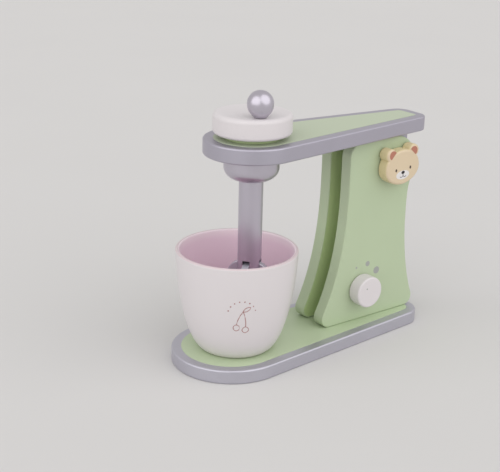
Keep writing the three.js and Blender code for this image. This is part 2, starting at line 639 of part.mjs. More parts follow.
// Bowl about its own axis, with z = 0 at its foot
function makeBowl() {
  const v = (x, y) => new THREE.Vector2(x, y);
  const [wallShare, heightShare] = BOWL_WALL_HANDLE_SHARES;
  const rimR = BOWL_WALL / 2;
  const rimZ = BOWL_HEIGHT - rimR;
  const outside = curve(v(BOWL_FOOT_R, 0), v(BOWL_FOOT_R + BOWL_FLOOR_HANDLE_SHARE * BOWL_RIM_R, 0),
    v(wallShare * BOWL_RIM_R, heightShare * BOWL_HEIGHT), v(BOWL_RIM_R, rimZ), CURVE_STEPS);
  const inside = curve(v(BOWL_FOOT_R, BOWL_FLOOR),
    v(BOWL_FOOT_R + BOWL_FLOOR_HANDLE_SHARE * BOWL_RIM_R - BOWL_WALL / 2, BOWL_FLOOR),
    v(wallShare * BOWL_RIM_R - BOWL_WALL, heightShare * BOWL_HEIGHT + BOWL_FLOOR / 2),
    v(BOWL_RIM_R - BOWL_WALL, rimZ), CURVE_STEPS).reverse();
  const rim = arc(BOWL_RIM_R - rimR, rimZ, rimR, 0, 180, 2 * ROUND_STEPS);
  const outline = cleaned([v(0, 0), ...outside, ...rim, ...inside, v(0, BOWL_FLOOR)]);
  const bowl = piece('bowl', turned(outline), WHITE, 0.4);
  bowl.position.set(BOWL_X, 0, BASE_THICK + SEAT_GAP);
  return bowl;
}

// Column: the base, both panels and what is fixed to them
const column = new THREE.Group();
column.add(makeBase(), makePanel('near_side_panel', -1), makePanel('far_side_panel', 1));
const stop = stopDowelPlace();
column.add(makeCrossDowel('stop_dowel', STOP_DOWEL_R, stop.x, stop.z));
column.add(makeCrossDowel('spreader_dowel', SPREADER_R, SPREADER_X, SPREADER_Z));
SCREW_XS.forEach((x, i) => {
  for (const [word, side] of [['near', -1], ['far', 1]]) {
    column.add(makeScrew(`base_screw_${word}_${i + 1}`, x, side));
  }
});
column.add(makeDial(), makeBear(), makeHingePin(), makeHingeCap());

// Tilting head
const head = new THREE.Group();
head.add(makeHeadBoard(), makeHingeBlock());
head.add(makeBlockDowel('block_dowel_front', -1), makeBlockDowel('block_dowel_back', 1));
head.position.z = headUnderZ;

// Crank and whisk, turned as the photograph's toy stands
const crank = new THREE.Group();
crank.add(makeDisc(), makeKnob(), makeKnobDowel(), makeSpindle(), makeHub());
crank.add(makeWasher('top_washer', TOP_WASHER_R, headTopZ + SEAT_GAP, discUnderZ - SEAT_GAP, BEECH));
crank.add(makeWasher('hub_washer', HUB_WASHER_R, hubTopZ + SEAT_GAP, headUnderZ - SEAT_GAP, FELT));
crank.rotation.z = THREE.MathUtils.degToRad(KNOB_ANGLE_DEG);
const whisk = new THREE.Group();
whisk.add(makeShaft(), makeLoop('whisk_loop_open_top', true), makeLoop('whisk_loop_open_below', false));
whisk.rotation.z = THREE.MathUtils.degToRad(WHISK_TURN_DEG);
crank.add(whisk);

const mixer = new THREE.Group();
mixer.add(column, head, crank, makeBowl());
mixer.position.x = -toyMiddleX;

export default mixer;
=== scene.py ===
# Painted wooden toy stand mixer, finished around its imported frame. +X runs from the bowl end to the column,
# the side with the dial faces -Y, and the ground is z = 0. All lengths are metres.
import json
import math

import bmesh
import bpy
from mathutils import Matrix, Vector
from mathutils.geometry import interpolate_bezier


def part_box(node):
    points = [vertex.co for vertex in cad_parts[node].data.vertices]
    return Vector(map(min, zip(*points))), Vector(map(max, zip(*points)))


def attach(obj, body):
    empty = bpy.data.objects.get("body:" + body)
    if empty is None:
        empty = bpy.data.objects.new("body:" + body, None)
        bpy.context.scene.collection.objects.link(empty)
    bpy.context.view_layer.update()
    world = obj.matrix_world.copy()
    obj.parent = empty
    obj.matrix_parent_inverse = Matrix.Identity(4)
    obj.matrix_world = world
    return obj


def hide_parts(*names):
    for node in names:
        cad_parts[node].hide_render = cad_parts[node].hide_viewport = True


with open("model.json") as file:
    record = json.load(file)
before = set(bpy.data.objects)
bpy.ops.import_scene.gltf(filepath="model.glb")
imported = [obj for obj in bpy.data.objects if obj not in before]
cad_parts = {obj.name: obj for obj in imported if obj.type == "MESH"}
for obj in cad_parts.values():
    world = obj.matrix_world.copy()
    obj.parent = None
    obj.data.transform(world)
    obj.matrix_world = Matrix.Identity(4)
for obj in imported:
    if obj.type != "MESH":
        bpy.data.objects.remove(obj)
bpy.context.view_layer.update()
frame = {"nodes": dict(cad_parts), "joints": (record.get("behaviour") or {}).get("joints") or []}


# Camera: it stands in front of the toy's dial side, about a metre away and some 20 degrees above, and it
# leans a little to one side. The lens is worked out from its length in pixels of a picture 500 wide.
MM = 0.001
CAMERA_PLACE = Vector((-608.46, -723.29, 430.98)) * MM
CAMERA_TURN = math.radians(-37.13)
CAMERA_DROP = math.radians(19.31)
CAMERA_LEAN = math.radians(1.39)
PICTURE_WIDTH_PX = 500
LENS_PX = 1091.47

camera = bpy.data.objects.new("camera", bpy.data.cameras.new("camera"))
camera.data.sensor_fit = "HORIZONTAL"
camera.data.lens = camera.data.sensor_width * LENS_PX / PICTURE_WIDTH_PX
aim = Matrix.Rotation(CAMERA_TURN, 4, "Z") @ Matrix.Rotation(math.pi / 2 - CAMERA_DROP, 4, "X")
camera.matrix_world = Matrix.Translation(CAMERA_PLACE) @ aim @ Matrix.Rotation(CAMERA_LEAN, 4, "Z")
bpy.context.scene.collection.objects.link(camera)
bpy.context.scene.camera = camera
bpy.context.scene.view_settings.view_transform = "Standard"


# Floor and light: a wide, matt, pale grey table that runs on past the picture, an even pale sky, and two
# broad soft lamps, one past the bowl end and one past the dial side, as two studio softboxes stand.
FLOOR_RADIUS = 20.0
FLOOR_PALE = (0.685, 0.67, 0.66)
FLOOR_DIM = (0.665, 0.65, 0.64)
FLOOR_ROUGHNESS = 0.85
FLOOR_SHINE = 0.2
SKY_LIGHT = (0.6, 0.6, 0.6)
SKY_SEEN = (0.64, 0.63, 0.62)
BOWL_END_LAMP = {"towards": (-1.0, -0.1, 0.5), "energy": 1.12, "width": 80}
DIAL_SIDE_LAMP = {"towards": (0.34, -0.94, 0.84), "energy": 1.06, "width": 80}


def add_node(tree, kind, settings=None, **inputs):
    """Adds a shader node. An input is a value for its socket, or another node's output to link to it."""
    node = tree.nodes.new("ShaderNode" + kind)
    for name, value in (settings or {}).items():
        setattr(node, name, value)
    for name, value in inputs.items():
        socket = node.inputs[name.replace("_", " ")]
        if isinstance(value, bpy.types.NodeSocket):
            tree.links.new(value, socket)
        else:
            socket.default_value = value
    return node


def two_tones(tree, share, first, second):
    """The first colour where share is 0, running into the second where it is 1."""
    ramp = add_node(tree, "ValToRGB", Fac=share)
    ramp.color_ramp.elements[0].color = (*first, 1)
    ramp.color_ramp.elements[1].color = (*second, 1)
    return ramp.outputs["Color"]


def new_material(name):
    """An empty material with its node tree and its shader."""
    material = bpy.data.materials.new(name)
    material.use_nodes = True
    return material, material.node_tree, material.node_tree.nodes["Principled BSDF"]


table_top, tree, shader = new_material("pale_table_top")
place = add_node(tree, "TexCoord").outputs["Object"]
cloth = add_node(tree, "TexNoise", Vector=place, Scale=3, Detail=2).outputs["Fac"]
tree.links.new(two_tones(tree, cloth, FLOOR_DIM, FLOOR_PALE), shader.inputs["Base Color"])
shader.inputs["Roughness"].default_value = FLOOR_ROUGHNESS
shader.inputs["Specular IOR Level"].default_value = FLOOR_SHINE

table = bmesh.new()
bmesh.ops.create_circle(table, cap_ends=True, segments=96, radius=FLOOR_RADIUS)
floor = bpy.data.objects.new("table_top", bpy.data.meshes.new("table_top"))
table.to_mesh(floor.data)
table.free()
floor.data.materials.append(table_top)
bpy.context.scene.collection.objects.link(floor)

sky = bpy.data.worlds.new("pale_sky")
bpy.context.scene.world = sky
sky.use_nodes = True
sky.node_tree.nodes.clear()
ray = add_node(sky.node_tree, "LightPath").outputs
seen = add_node(sky.node_tree, "Math", {"operation": "MAXIMUM"})
sky.node_tree.links.new(ray["Is Camera Ray"], seen.inputs[0])
sky.node_tree.links.new(ray["Is Glossy Ray"], seen.inputs[1])
seen_through = add_node(sky.node_tree, "Math", {"operation": "MAXIMUM"})
sky.node_tree.links.new(seen.outputs[0], seen_through.inputs[0])
sky.node_tree.links.new(ray["Is Transmission Ray"], seen_through.inputs[1])
sky_colour = two_tones(sky.node_tree, seen_through.outputs[0], SKY_LIGHT, SKY_SEEN)
glow = add_node(sky.node_tree, "Background", Color=sky_colour).outputs[0]
add_node(sky.node_tree, "OutputWorld", Surface=glow)

for name, lamp in (("bowl_end_lamp", BOWL_END_LAMP), ("dial_side_lamp", DIAL_SIDE_LAMP)):
    light = bpy.data.lights.new(name, "SUN")
    light.energy = lamp["energy"]
    light.angle = math.radians(lamp["width"])
    lamp_stand = bpy.data.objects.new(name, light)
    lamp_stand.rotation_euler = Vector(lamp["towards"]).to_track_quat("Z", "Y").to_euler()
    bpy.context.scene.collection.objects.link(lamp_stand)


# Base board: half-inch wood with a round nose under the bowl and a narrower tail, its edges rounded over
# and sprayed silver. Four holes with sunk mouths go up through it for the screws that hold the panels.
BOARD_EDGE = 1.6 * MM
BASE_NOSE_X = -18.8 * MM
BASE_NOSE_R = 53.3 * MM
BASE_TAIL_X = 188.6 * MM
BASE_TAIL_HALF = 37.3 * MM
BASE_CORNER_R = 20.6 * MM
SCREW_HOLE_XS = (94 * MM, 164 * MM)
SCREW_HOLE_R = 2.3 * MM
SCREW_MOUTH_R = 4.3 * MM
SCREW_SINK = 0.8 * MM
SCREW_MOUTH_DEPTH = 3.4 * MM
SAW_OVERRUN = 1 * MM
WELD = 0.002 * MM
CREASE = math.radians(40)
SILVER_PAINT = (0.545, 0.535, 0.60)
SILVER_FINISH = {"roughness": 0.4, "metallic": 0.8}
GRAIN_FINE = 620
GRAIN_LONG = 22
CLOUD_SCALE = 26
SPRAY_SCALE = 1500
COAT_ROUGHNESS = 0.2
ROUGHNESS_DRIFT = 0.04

# Lengths along the toy are measured from the whisk's axis, which the crank turns about
joint_at = {joint["name"]: Vector(joint["pos_m"]) for joint in frame["joints"] if "pos_m" in joint}
whisk_axis = Vector((joint_at["crank_turn"].x, 0, 0))


class Outline:
    """A pen that draws in the XY plane, each stroke going on from where the last one ended."""

    def __init__(self, x, y):
        self.mesh = bmesh.new()
        self.tip = bmesh.ops.create_vert(self.mesh, co=(x, y, 0))["vert"][0]

    def line(self, x, y):
        made = bmesh.ops.extrude_vert_indiv(self.mesh, verts=[self.tip])["verts"]
        bmesh.ops.translate(self.mesh, verts=made, vec=Vector((x, y, 0)) - self.tip.co)
        self.tip = made[0]

    def arc(self, x, y, degrees, steps):
        swept = bmesh.ops.spin(self.mesh, geom=[self.tip], cent=(x, y, 0), axis=(0, 0, 1),
                               angle=math.radians(degrees), steps=steps)
        self.tip = next(e for e in swept["geom_last"] if isinstance(e, bmesh.types.BMVert))

    def curve(self, first_handle, last_handle, end, steps):
        start = self.tip.co.to_2d()
        for point in interpolate_bezier(start, first_handle, last_handle, end, steps + 1)[1:]:
            self.line(*point)


def thicken(bm, sheet, thick):
    """Pulls flat faces up into a closed board."""
    raised = bmesh.ops.extrude_face_region(bm, geom=sheet)["geom"]
    bmesh.ops.translate(bm, verts=[e for e in raised if isinstance(e, bmesh.types.BMVert)],
                        vec=(0, 0, thick))
    bmesh.ops.recalc_face_normals(bm, faces=bm.faces)


def slab(outline, thick, rounded, steps=5):
    """Closes an outline and makes a board of it from z = 0 up, with both its rims rounded."""
    bm = outline.mesh
    bmesh.ops.remove_doubles(bm, verts=bm.verts, dist=WELD)
    thicken(bm, bmesh.ops.contextual_create(bm, geom=bm.edges)["faces"], thick)
    rims = [e for e in bm.edges if e.verts[0].co.z == e.verts[1].co.z]
    bmesh.ops.bevel(bm, geom=rims, offset=rounded, segments=steps, profile=0.5, affect="EDGES",
                    material=-1)
    return bm


def turned(outline, steps=96):
    """Turns an outline, with radius along x and height along y, once round the Z axis."""
    bm = outline.mesh
    bmesh.ops.rotate(bm, verts=bm.verts, matrix=Matrix.Rotation(math.pi / 2, 3, "X"))
    bmesh.ops.spin(bm, geom=bm.verts[:] + bm.edges[:], axis=(0, 0, 1), angle=2 * math.pi, steps=steps,
                   use_merge=True)
    bmesh.ops.remove_doubles(bm, verts=bm.verts, dist=WELD)
    bmesh.ops.recalc_face_normals(bm, faces=bm.faces)
    return bm


def cut_away(bm, *tools):
    """Saws or drills closed meshes out of a closed mesh, and gives back what is left."""
    stand_ins = []
    for part in (bm, *tools):
        mesh = bpy.data.meshes.new("stand_in")
        part.to_mesh(mesh)
        part.free()
        stand_ins.append(bpy.data.objects.new("stand_in", mesh))
        bpy.context.scene.collection.objects.link(stand_ins[-1])
    for tool in stand_ins[1:]:
        saw = stand_ins[0].modifiers.new("saw", "BOOLEAN")
        saw.object = tool
        saw.solver = "EXACT"
    left = bmesh.new()
    left.from_object(stand_ins[0], bpy.context.evaluated_depsgraph_get())
    for stand_in in stand_ins:
        bpy.data.meshes.remove(stand_in.data)
    return left


def add_piece(name, bm, materials, body, nodes=()):
    """Makes a mesh a piece of the toy: smooth, painted, riding on its body, and shown for the CAD nodes."""
    bmesh.ops.remove_doubles(bm, verts=bm.verts, dist=WELD)
    for face in bm.faces:
        face.smooth = True
    for edge in bm.edges:
        edge.smooth = edge.calc_face_angle(0) < CREASE
    piece = bpy.data.objects.new(name, bpy.data.meshes.new(name))
    bm.to_mesh(piece.data)
    bm.free()
    for material in materials:
        piece.data.materials.append(material)
    bpy.context.scene.collection.objects.link(piece)
    piece.modifiers.new("flat_faces_stay_flat", "WEIGHTED_NORMAL").keep_sharp = True
    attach(piece, body)
    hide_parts(*nodes)
    return piece


def painted_wood(name, colour, grain="X", roughness=0.45, metallic=0.0, coat=0.0, uneven=0.03):
    """Sprayed paint on sanded wood: faint grain ridges along one axis, spray texture and an uneven tone."""
    material, tree, shader = new_material(name)
    shader.inputs["Metallic"].default_value = metallic
    shader.inputs["Coat Weight"].default_value = coat
    shader.inputs["Coat Roughness"].default_value = COAT_ROUGHNESS
    place = add_node(tree, "TexCoord").outputs["Object"]
    stretch = [GRAIN_FINE] * 3
    stretch["XYZ".index(grain)] = GRAIN_LONG
    along_grain = add_node(tree, "Mapping", Vector=place, Scale=stretch).outputs["Vector"]
    ridges = add_node(tree, "TexNoise", Vector=along_grain, Scale=1, Detail=3).outputs["Fac"]
    cloud = add_node(tree, "TexNoise", Vector=place, Scale=CLOUD_SCALE, Detail=2).outputs["Fac"]
    spray = add_node(tree, "TexNoise", Vector=place, Scale=SPRAY_SCALE, Detail=1).outputs["Fac"]
    darker = [value * (1 - uneven) for value in colour]
    lighter = [value * (1 + uneven) for value in colour]
    tree.links.new(two_tones(tree, cloud, darker, lighter), shader.inputs["Base Color"])
    dull = add_node(tree, "MapRange", Value=cloud, From_Min=0.3, From_Max=0.7,
                    To_Min=roughness - ROUGHNESS_DRIFT,
                    To_Max=roughness + ROUGHNESS_DRIFT).outputs["Result"]
    tree.links.new(dull, shader.inputs["Roughness"])
    grain_relief = add_node(tree, "Bump", Height=ridges, Strength=0.5, Distance=0.02 * MM).outputs["Normal"]
    relief = add_node(tree, "Bump", Height=spray, Strength=0.4, Distance=0.008 * MM, Normal=grain_relief)
    tree.links.new(relief.outputs["Normal"], shader.inputs["Normal"])
    return material


def board_outline(nose_x, nose_r, tail_x, tail_half, corner_r):
    """A round nose, straight sides that run in towards the tail, and rounded tail corners."""
    corner_x = tail_x - corner_r
    corner_y = tail_half - corner_r
    reach = math.hypot(corner_x - nose_x, corner_y)
    lean = math.atan2(corner_y, corner_x - nose_x) + math.acos((nose_r - corner_r) / reach)
    degrees = math.degrees(lean)
    outline = Outline(nose_x + nose_r * math.cos(lean), nose_r * math.sin(lean))
    outline.arc(nose_x, 0, 360 - 2 * degrees, steps=120)
    outline.line(corner_x + corner_r * math.cos(lean), -corner_y - corner_r * math.sin(lean))
    outline.arc(corner_x, -corner_y, degrees, steps=24)
    outline.line(tail_x, corner_y)
    outline.arc(corner_x, corner_y, degrees, steps=24)
    return outline


def screw_hole(x, y, top):
    """The drill's shape for one screw hole: a sunk mouth, a cone and a bore."""
    outline = Outline(0, -SAW_OVERRUN)
    outline.line(SCREW_MOUTH_R, -SAW_OVERRUN)
    outline.line(SCREW_MOUTH_R, SCREW_SINK)
    outline.line(SCREW_HOLE_R, SCREW_MOUTH_DEPTH)
    outline.line(SCREW_HOLE_R, top + SAW_OVERRUN)
    outline.line(0, top + SAW_OVERRUN)
    drill = turned(outline, steps=32)
    bmesh.ops.translate(drill, verts=drill.verts, vec=whisk_axis + Vector((x, y, 0)))
    return drill


silver_along = painted_wood("silver_paint_along_x", SILVER_PAINT, **SILVER_FINISH)
base_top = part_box("base_board")[1].z
board = slab(board_outline(BASE_NOSE_X, BASE_NOSE_R, BASE_TAIL_X, BASE_TAIL_HALF, BASE_CORNER_R),
             base_top, BOARD_EDGE)
bmesh.ops.translate(board, verts=board.verts, vec=whisk_axis)
near_low, near_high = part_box("near_side_panel")
panel_middle_y = (near_low.y + near_high.y) / 2
holes = [screw_hole(x, side * panel_middle_y, base_top) for x in SCREW_HOLE_XS for side in (1, -1)]
add_piece("base_board_silver", cut_away(board, *holes), [silver_along], "stand",
          ["base_board"])


# Green field of the base: a coat of sage green paint on top of the board, masked off so that a silver rim
# of one width is left all round. The thick coat ends in a small soft step. Its green is a little lighter
# than the panels' green: painted bounce light.
RIM_WIDTH = 8.8 * MM
FIELD_THICK = 0.2 * MM
FIELD_SUNK = 0.1 * MM
FIELD_ROUND = 0.12 * MM
BASE_GREEN_WITH_PAINTED_BOUNCE = (0.515, 0.61, 0.41)


def green_field(name, outline, paint, top, body):
    """A thin coat of green paint on a board's top, a little let into it."""
    coat = slab(outline, FIELD_SUNK + FIELD_THICK, FIELD_ROUND, steps=2)
    bmesh.ops.translate(coat, verts=coat.verts, vec=whisk_axis + Vector((0, 0, top - FIELD_SUNK)))
    return add_piece(name, coat, [paint], body)


# A lighter copy of the panels' green, painted bounce light.
base_green_with_painted_bounce = painted_wood("green_of_the_base_with_painted_bounce", BASE_GREEN_WITH_PAINTED_BOUNCE)
green_field("base_field_green",
            board_outline(BASE_NOSE_X, BASE_NOSE_R - RIM_WIDTH, BASE_TAIL_X - RIM_WIDTH,
                          BASE_TAIL_HALF - RIM_WIDTH, BASE_CORNER_R - RIM_WIDTH),
            base_green_with_painted_bounce, base_top, "stand")


# Base screws: four countersunk wood screws of zinc-plated steel, driven up through the base into the side
# panels. Only their heads show, sunk below the board's underside, each with its cross recess.
SCREW_R = 2 * MM
SCREW_HEAD_R = 4 * MM
SCREW_HEAD_H = 2.6 * MM
SCREW_HEAD_EDGE = 0.25 * MM
RECESS_LONG = 4.2 * MM
RECESS_WIDE = 0.9 * MM
RECESS_DEEP = 1.5 * MM
ZINC = (0.60, 0.61, 0.63)
ZINC_DULL_SHARE = 0.9


def plated_steel(name, colour):
    """Zinc plating: bright and slightly cloudy, with a faint fine relief."""
    material, tree, shader = new_material(name)
    shader.inputs["Metallic"].default_value = 1.0
    place = add_node(tree, "TexCoord").outputs["Object"]
    cloud = add_node(tree, "TexNoise", Vector=place, Scale=900, Detail=3).outputs["Fac"]
    darker = [value * ZINC_DULL_SHARE for value in colour]
    tree.links.new(two_tones(tree, cloud, darker, colour), shader.inputs["Base Color"])
    dull = add_node(tree, "MapRange", Value=cloud, To_Min=0.25, To_Max=0.45).outputs["Result"]
    tree.links.new(dull, shader.inputs["Roughness"])
    relief = add_node(tree, "Bump", Height=cloud, Strength=0.2, Distance=0.01 * MM).outputs["Normal"]
    tree.links.new(relief, shader.inputs["Normal"])
    return material


def box_tool(x, y, z, centre):
    """A box of the given size, as the cutter for a straight slot."""
    bm = bmesh.new()
    size = Matrix.Diagonal((x, y, z, 1))
    bmesh.ops.create_cube(bm, size=1, matrix=Matrix.Translation(centre) @ size)
    return bm


zinc = plated_steel("zinc_plated_steel", ZINC)
recess_at = Vector((0, 0, 0))
for side_name, side in (("near", -1), ("far", 1)):
    for number, x in enumerate(SCREW_HOLE_XS, 1):
        node = f"base_screw_{side_name}_{number}"
        low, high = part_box(node)
        profile = Outline(0, 0)
        profile.line(SCREW_HEAD_R - SCREW_HEAD_EDGE, 0)
        profile.line(SCREW_HEAD_R, SCREW_HEAD_EDGE)
        profile.line(SCREW_R, SCREW_HEAD_H)
        profile.line(SCREW_R, high.z - low.z - SCREW_R)
        profile.line(0, high.z - low.z)
        screw = cut_away(turned(profile, steps=32),
                         box_tool(RECESS_LONG, RECESS_WIDE, 2 * RECESS_DEEP, recess_at),
                         box_tool(RECESS_WIDE, RECESS_LONG, 2 * RECESS_DEEP, recess_at))
        bmesh.ops.translate(screw, verts=screw.verts,
                            vec=((low.x + high.x) / 2, (low.y + high.y) / 2, low.z))
        add_piece(node + "_zinc", screw, [zinc], "stand", [node])


# Side panels: two alike, sawn from half-inch wood with a hollow front edge, a waisted back and a round back
# top corner about the hinge, their edges rounded over. They stand on the base, sprayed sage green. Their
# inner faces in the gap take a more saturated green, painted shade from the light bounced between the panels.
FOOT_FRONT_X = 71.3 * MM
FOOT_BACK_X = 186.6 * MM
FOOT_R = 9 * MM
NECK_X = 96.7 * MM
NECK_R = 14 * MM
WAIST_X = 171.2 * MM
FRONT_FLARE = math.radians(26.7)
BACK_FLARE = math.radians(22.3)
PANEL_EDGE = 1.2 * MM
ARC_START = math.radians(-30)
NECK_START_SHARE = 0.78
NECK_HANDLE_SHARE = 0.24
FLARE_HANDLE_SHARE = 0.25
WAIST_SHARE = 0.55
WAIST_HANDLE_SHARE = 0.17
BACK_HANDLE_SHARE = 0.14
ARC_HANDLE_SHARE = 0.055
GREEN_PAINT = (0.485, 0.575, 0.385)
GAP_GREEN_PAINTED_SHADE = (0.51, 0.63, 0.32)
FLAT_FACE = 0.99

hinge = joint_at["head_tilt"] - whisk_axis


def panel_outline(height, pin_height):
    """The panel's outline from its back foot up the waist, over the top and down the hollow front."""
    top_r = height - pin_height
    back = Vector((-math.sin(BACK_FLARE), math.cos(BACK_FLARE)))
    front = Vector((math.sin(FRONT_FLARE), math.cos(FRONT_FLARE)))
    arc_start = Vector((math.cos(ARC_START), math.sin(ARC_START)))
    arc_heading = Vector((-arc_start.y, arc_start.x))
    waist = Vector((WAIST_X, WAIST_SHARE * height))
    neck = Vector((NECK_X, NECK_START_SHARE * height))
    foot_centre = Vector((FOOT_FRONT_X + FOOT_R, FOOT_R))
    front_end = foot_centre + FOOT_R * Vector((-front.y, front.x))
    outline = Outline(FOOT_BACK_X - FOOT_R, 0)
    outline.arc(FOOT_BACK_X - FOOT_R, FOOT_R, 90 + math.degrees(BACK_FLARE), steps=20)
    outline.curve(outline.tip.co.to_2d() + BACK_HANDLE_SHARE * height * back,
                  waist - Vector((0, WAIST_HANDLE_SHARE * height)), waist, steps=30)
    top = Vector((hinge.x, pin_height)) + top_r * arc_start
    outline.curve(waist + Vector((0, ARC_HANDLE_SHARE * height)),
                  top - ARC_HANDLE_SHARE * height * arc_heading, top, steps=20)
    outline.arc(hinge.x, pin_height, 90 - math.degrees(ARC_START), steps=40)
    outline.line(NECK_X + NECK_R, height)
    outline.arc(NECK_X + NECK_R, height - NECK_R, 90, steps=24)
    outline.line(*neck)
    outline.curve(neck - Vector((0, NECK_HANDLE_SHARE * height)),
                  front_end + FLARE_HANDLE_SHARE * height * front, front_end, steps=40)
    outline.arc(*foot_centre, 90 + math.degrees(FRONT_FLARE), steps=20)
    return outline


def stood_up(bm, x, front_y, z):
    """Turns a piece drawn flat upright, its underside towards +Y, and puts it in its place."""
    bmesh.ops.rotate(bm, verts=bm.verts, matrix=Matrix.Rotation(math.pi / 2, 3, "X"))
    bmesh.ops.translate(bm, verts=bm.verts, vec=(x, front_y, z))
    return bm


green_upright = painted_wood("green_paint_along_z", GREEN_PAINT, grain="Z")
gap_green_painted_shade = painted_wood("green_with_painted_shade_in_the_gap", GAP_GREEN_PAINTED_SHADE, grain="Z", roughness=0.5)
for side_name, inside in (("near", -1), ("far", 1)):
    node = side_name + "_side_panel"
    low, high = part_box(node)
    panel = slab(panel_outline(high.z - low.z, hinge.z - low.z), high.y - low.y, PANEL_EDGE)
    # Inner faces take the gap's saturated green, painted shade from light bounced between the panels.
    for face in panel.faces:
        face.material_index = int(inside * face.normal.z > FLAT_FACE)
    stood_up(panel, whisk_axis.x, high.y, low.z)
    add_piece(node + "_green", panel, [green_upright, gap_green_painted_shade], "stand", [node])


# Cross dowels: bare beech rods between the panels, their ends in blind holes. The upper one stops the
# open head, the lower one holds the panels apart.
BEECH_PALE = (0.72, 0.53, 0.33)
BEECH_DARK = (0.55, 0.37, 0.21)
BEECH_FINE = 420
BEECH_LONG = 18
ROD_EASE_SHARE = 1 / 12


def bare_beech(name, grain):
    """Sanded beech: long pale bands with short dark flecks along the grain."""
    material, tree, shader = new_material(name)
    place = add_node(tree, "TexCoord").outputs["Object"]
    stretch = [BEECH_FINE] * 3
    stretch["XYZ".index(grain)] = BEECH_LONG
    along_grain = add_node(tree, "Mapping", Vector=place, Scale=stretch).outputs["Vector"]
    bands = add_node(tree, "TexNoise", Vector=along_grain, Scale=1, Detail=4).outputs["Fac"]
    tree.links.new(two_tones(tree, bands, BEECH_DARK, BEECH_PALE), shader.inputs["Base Color"])
    dull = add_node(tree, "MapRange", Value=bands, To_Min=0.55, To_Max=0.7).outputs["Result"]
    tree.links.new(dull, shader.inputs["Roughness"])
    relief = add_node(tree, "Bump", Height=bands, Strength=0.4, Distance=0.03 * MM).outputs["Normal"]
    tree.links.new(relief, shader.inputs["Normal"])
    return material


def rod(r, low, high, steps=48):
    """A rod along Z with its two ends eased."""
    eased = r * ROD_EASE_SHARE
    outline = Outline(0, low)
    outline.line(r - eased, low)
    outline.line(r, low + eased)
    outline.line(r, high - eased)
    outline.line(r - eased, high)
    outline.line(0, high)
    return turned(outline, steps)


beech_across = bare_beech("bare_beech_along_y", "Y")
for node in ("stop_dowel", "spreader_dowel"):
    low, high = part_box(node)
    dowel = rod((high.z - low.z) / 2, 0, high.y - low.y)
    stood_up(dowel, (low.x + high.x) / 2, high.y, (low.z + high.z) / 2)
    add_piece(node + "_beech", dowel, [beech_across], "stand", [node])


# Dots of the speed scale: three round dots of soft grey ink, growing clockwise, printed on the near panel
# above the dial.
INK_THICK = 0.08 * MM
INK_SUNK = 0.04 * MM
SCALE_DOTS = (
    {"x": 111 * MM, "z": 66.1 * MM, "r": 1.1 * MM},
    {"x": 125 * MM, "z": 67.6 * MM, "r": 2.6 * MM},
    {"x": 136.8 * MM, "z": 58.7 * MM, "r": 3.6 * MM},
)
GREY_INK = (0.37, 0.38, 0.36)


def printed(bm, thick=INK_SUNK + INK_THICK):
    """Gives flat shapes drawn in the XY plane the thickness of a coat of ink."""
    thicken(bm, bm.faces, thick)
    return bm


def add_dot(bm, x, y, r, tall=1.0):
    """Draws a round dot, or an oval one where tall isn't 1."""
    shape = Matrix.Translation((x, y, 0)) @ Matrix.Diagonal((1, tall, 1, 1))
    bmesh.ops.create_circle(bm, cap_ends=True, segments=40, radius=r, matrix=shape)


grey_ink = painted_wood("grey_ink", GREY_INK, grain="Z", roughness=0.5)
dots = bmesh.new()
for dot in SCALE_DOTS:
    add_dot(dots, dot["x"], dot["z"], dot["r"])
add_piece("scale_dots", stood_up(printed(dots), whisk_axis.x, near_low.y + INK_SUNK, 0), [grey_ink], "stand")


# Dial: a thick turned wooden button with softened edges, lacquered warm white, with one small ink mark
# near its rim. It turns on a screw whose washer and head sit in the gap behind the near panel.
DIAL_R = 15 * MM
DIAL_THICK = 13.5 * MM
DIAL_ROUND = 1.8 * MM
DIAL_MARK = {"x": -4.2 * MM, "z": 4.5 * MM, "r": 0.75 * MM}
WHITE_LACQUER = (0.72, 0.677, 0.688)
WHITE_FINISH = {"roughness": 0.38, "coat": 0.15, "uneven": 0.015}


def button(r, thick, under_round, top_round, steps=96):
    """A turned disc from z = 0 up with both its rims rounded."""
    outline = Outline(0, 0)
    outline.line(r - under_round, 0)
    outline.arc(r - under_round, under_round, 90, steps=8)
    outline.line(r, thick - top_round)
    outline.arc(r - top_round, thick - top_round, 90, steps=10)
    outline.line(0, thick)
    return turned(outline, steps)


def finish_solid(node, material):
    """Gives its finish to a solid that is shown as it is."""
    frame["nodes"][node].data.materials.clear()
    frame["nodes"][node].data.materials.append(material)


white_across = painted_wood("white_lacquer_along_x", WHITE_LACQUER, **WHITE_FINISH)
dial_low, dial_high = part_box("dial_knob")
dial_at = joint_at["dial_turn"]
dial = stood_up(button(DIAL_R, DIAL_THICK, DIAL_ROUND, DIAL_ROUND), dial_at.x, dial_high.y, dial_at.z)
add_piece("dial_white", dial, [white_across], "dial", ["dial_knob"])
mark = bmesh.new()
add_dot(mark, DIAL_MARK["x"], DIAL_MARK["z"], DIAL_MARK["r"])
stood_up(printed(mark), dial_at.x, dial_low.y + INK_SUNK, dial_at.z)
add_piece("dial_mark", mark, [grey_ink], "dial")
for node in ("dial_screw", "dial_washer"):
    finish_solid(node, zinc)


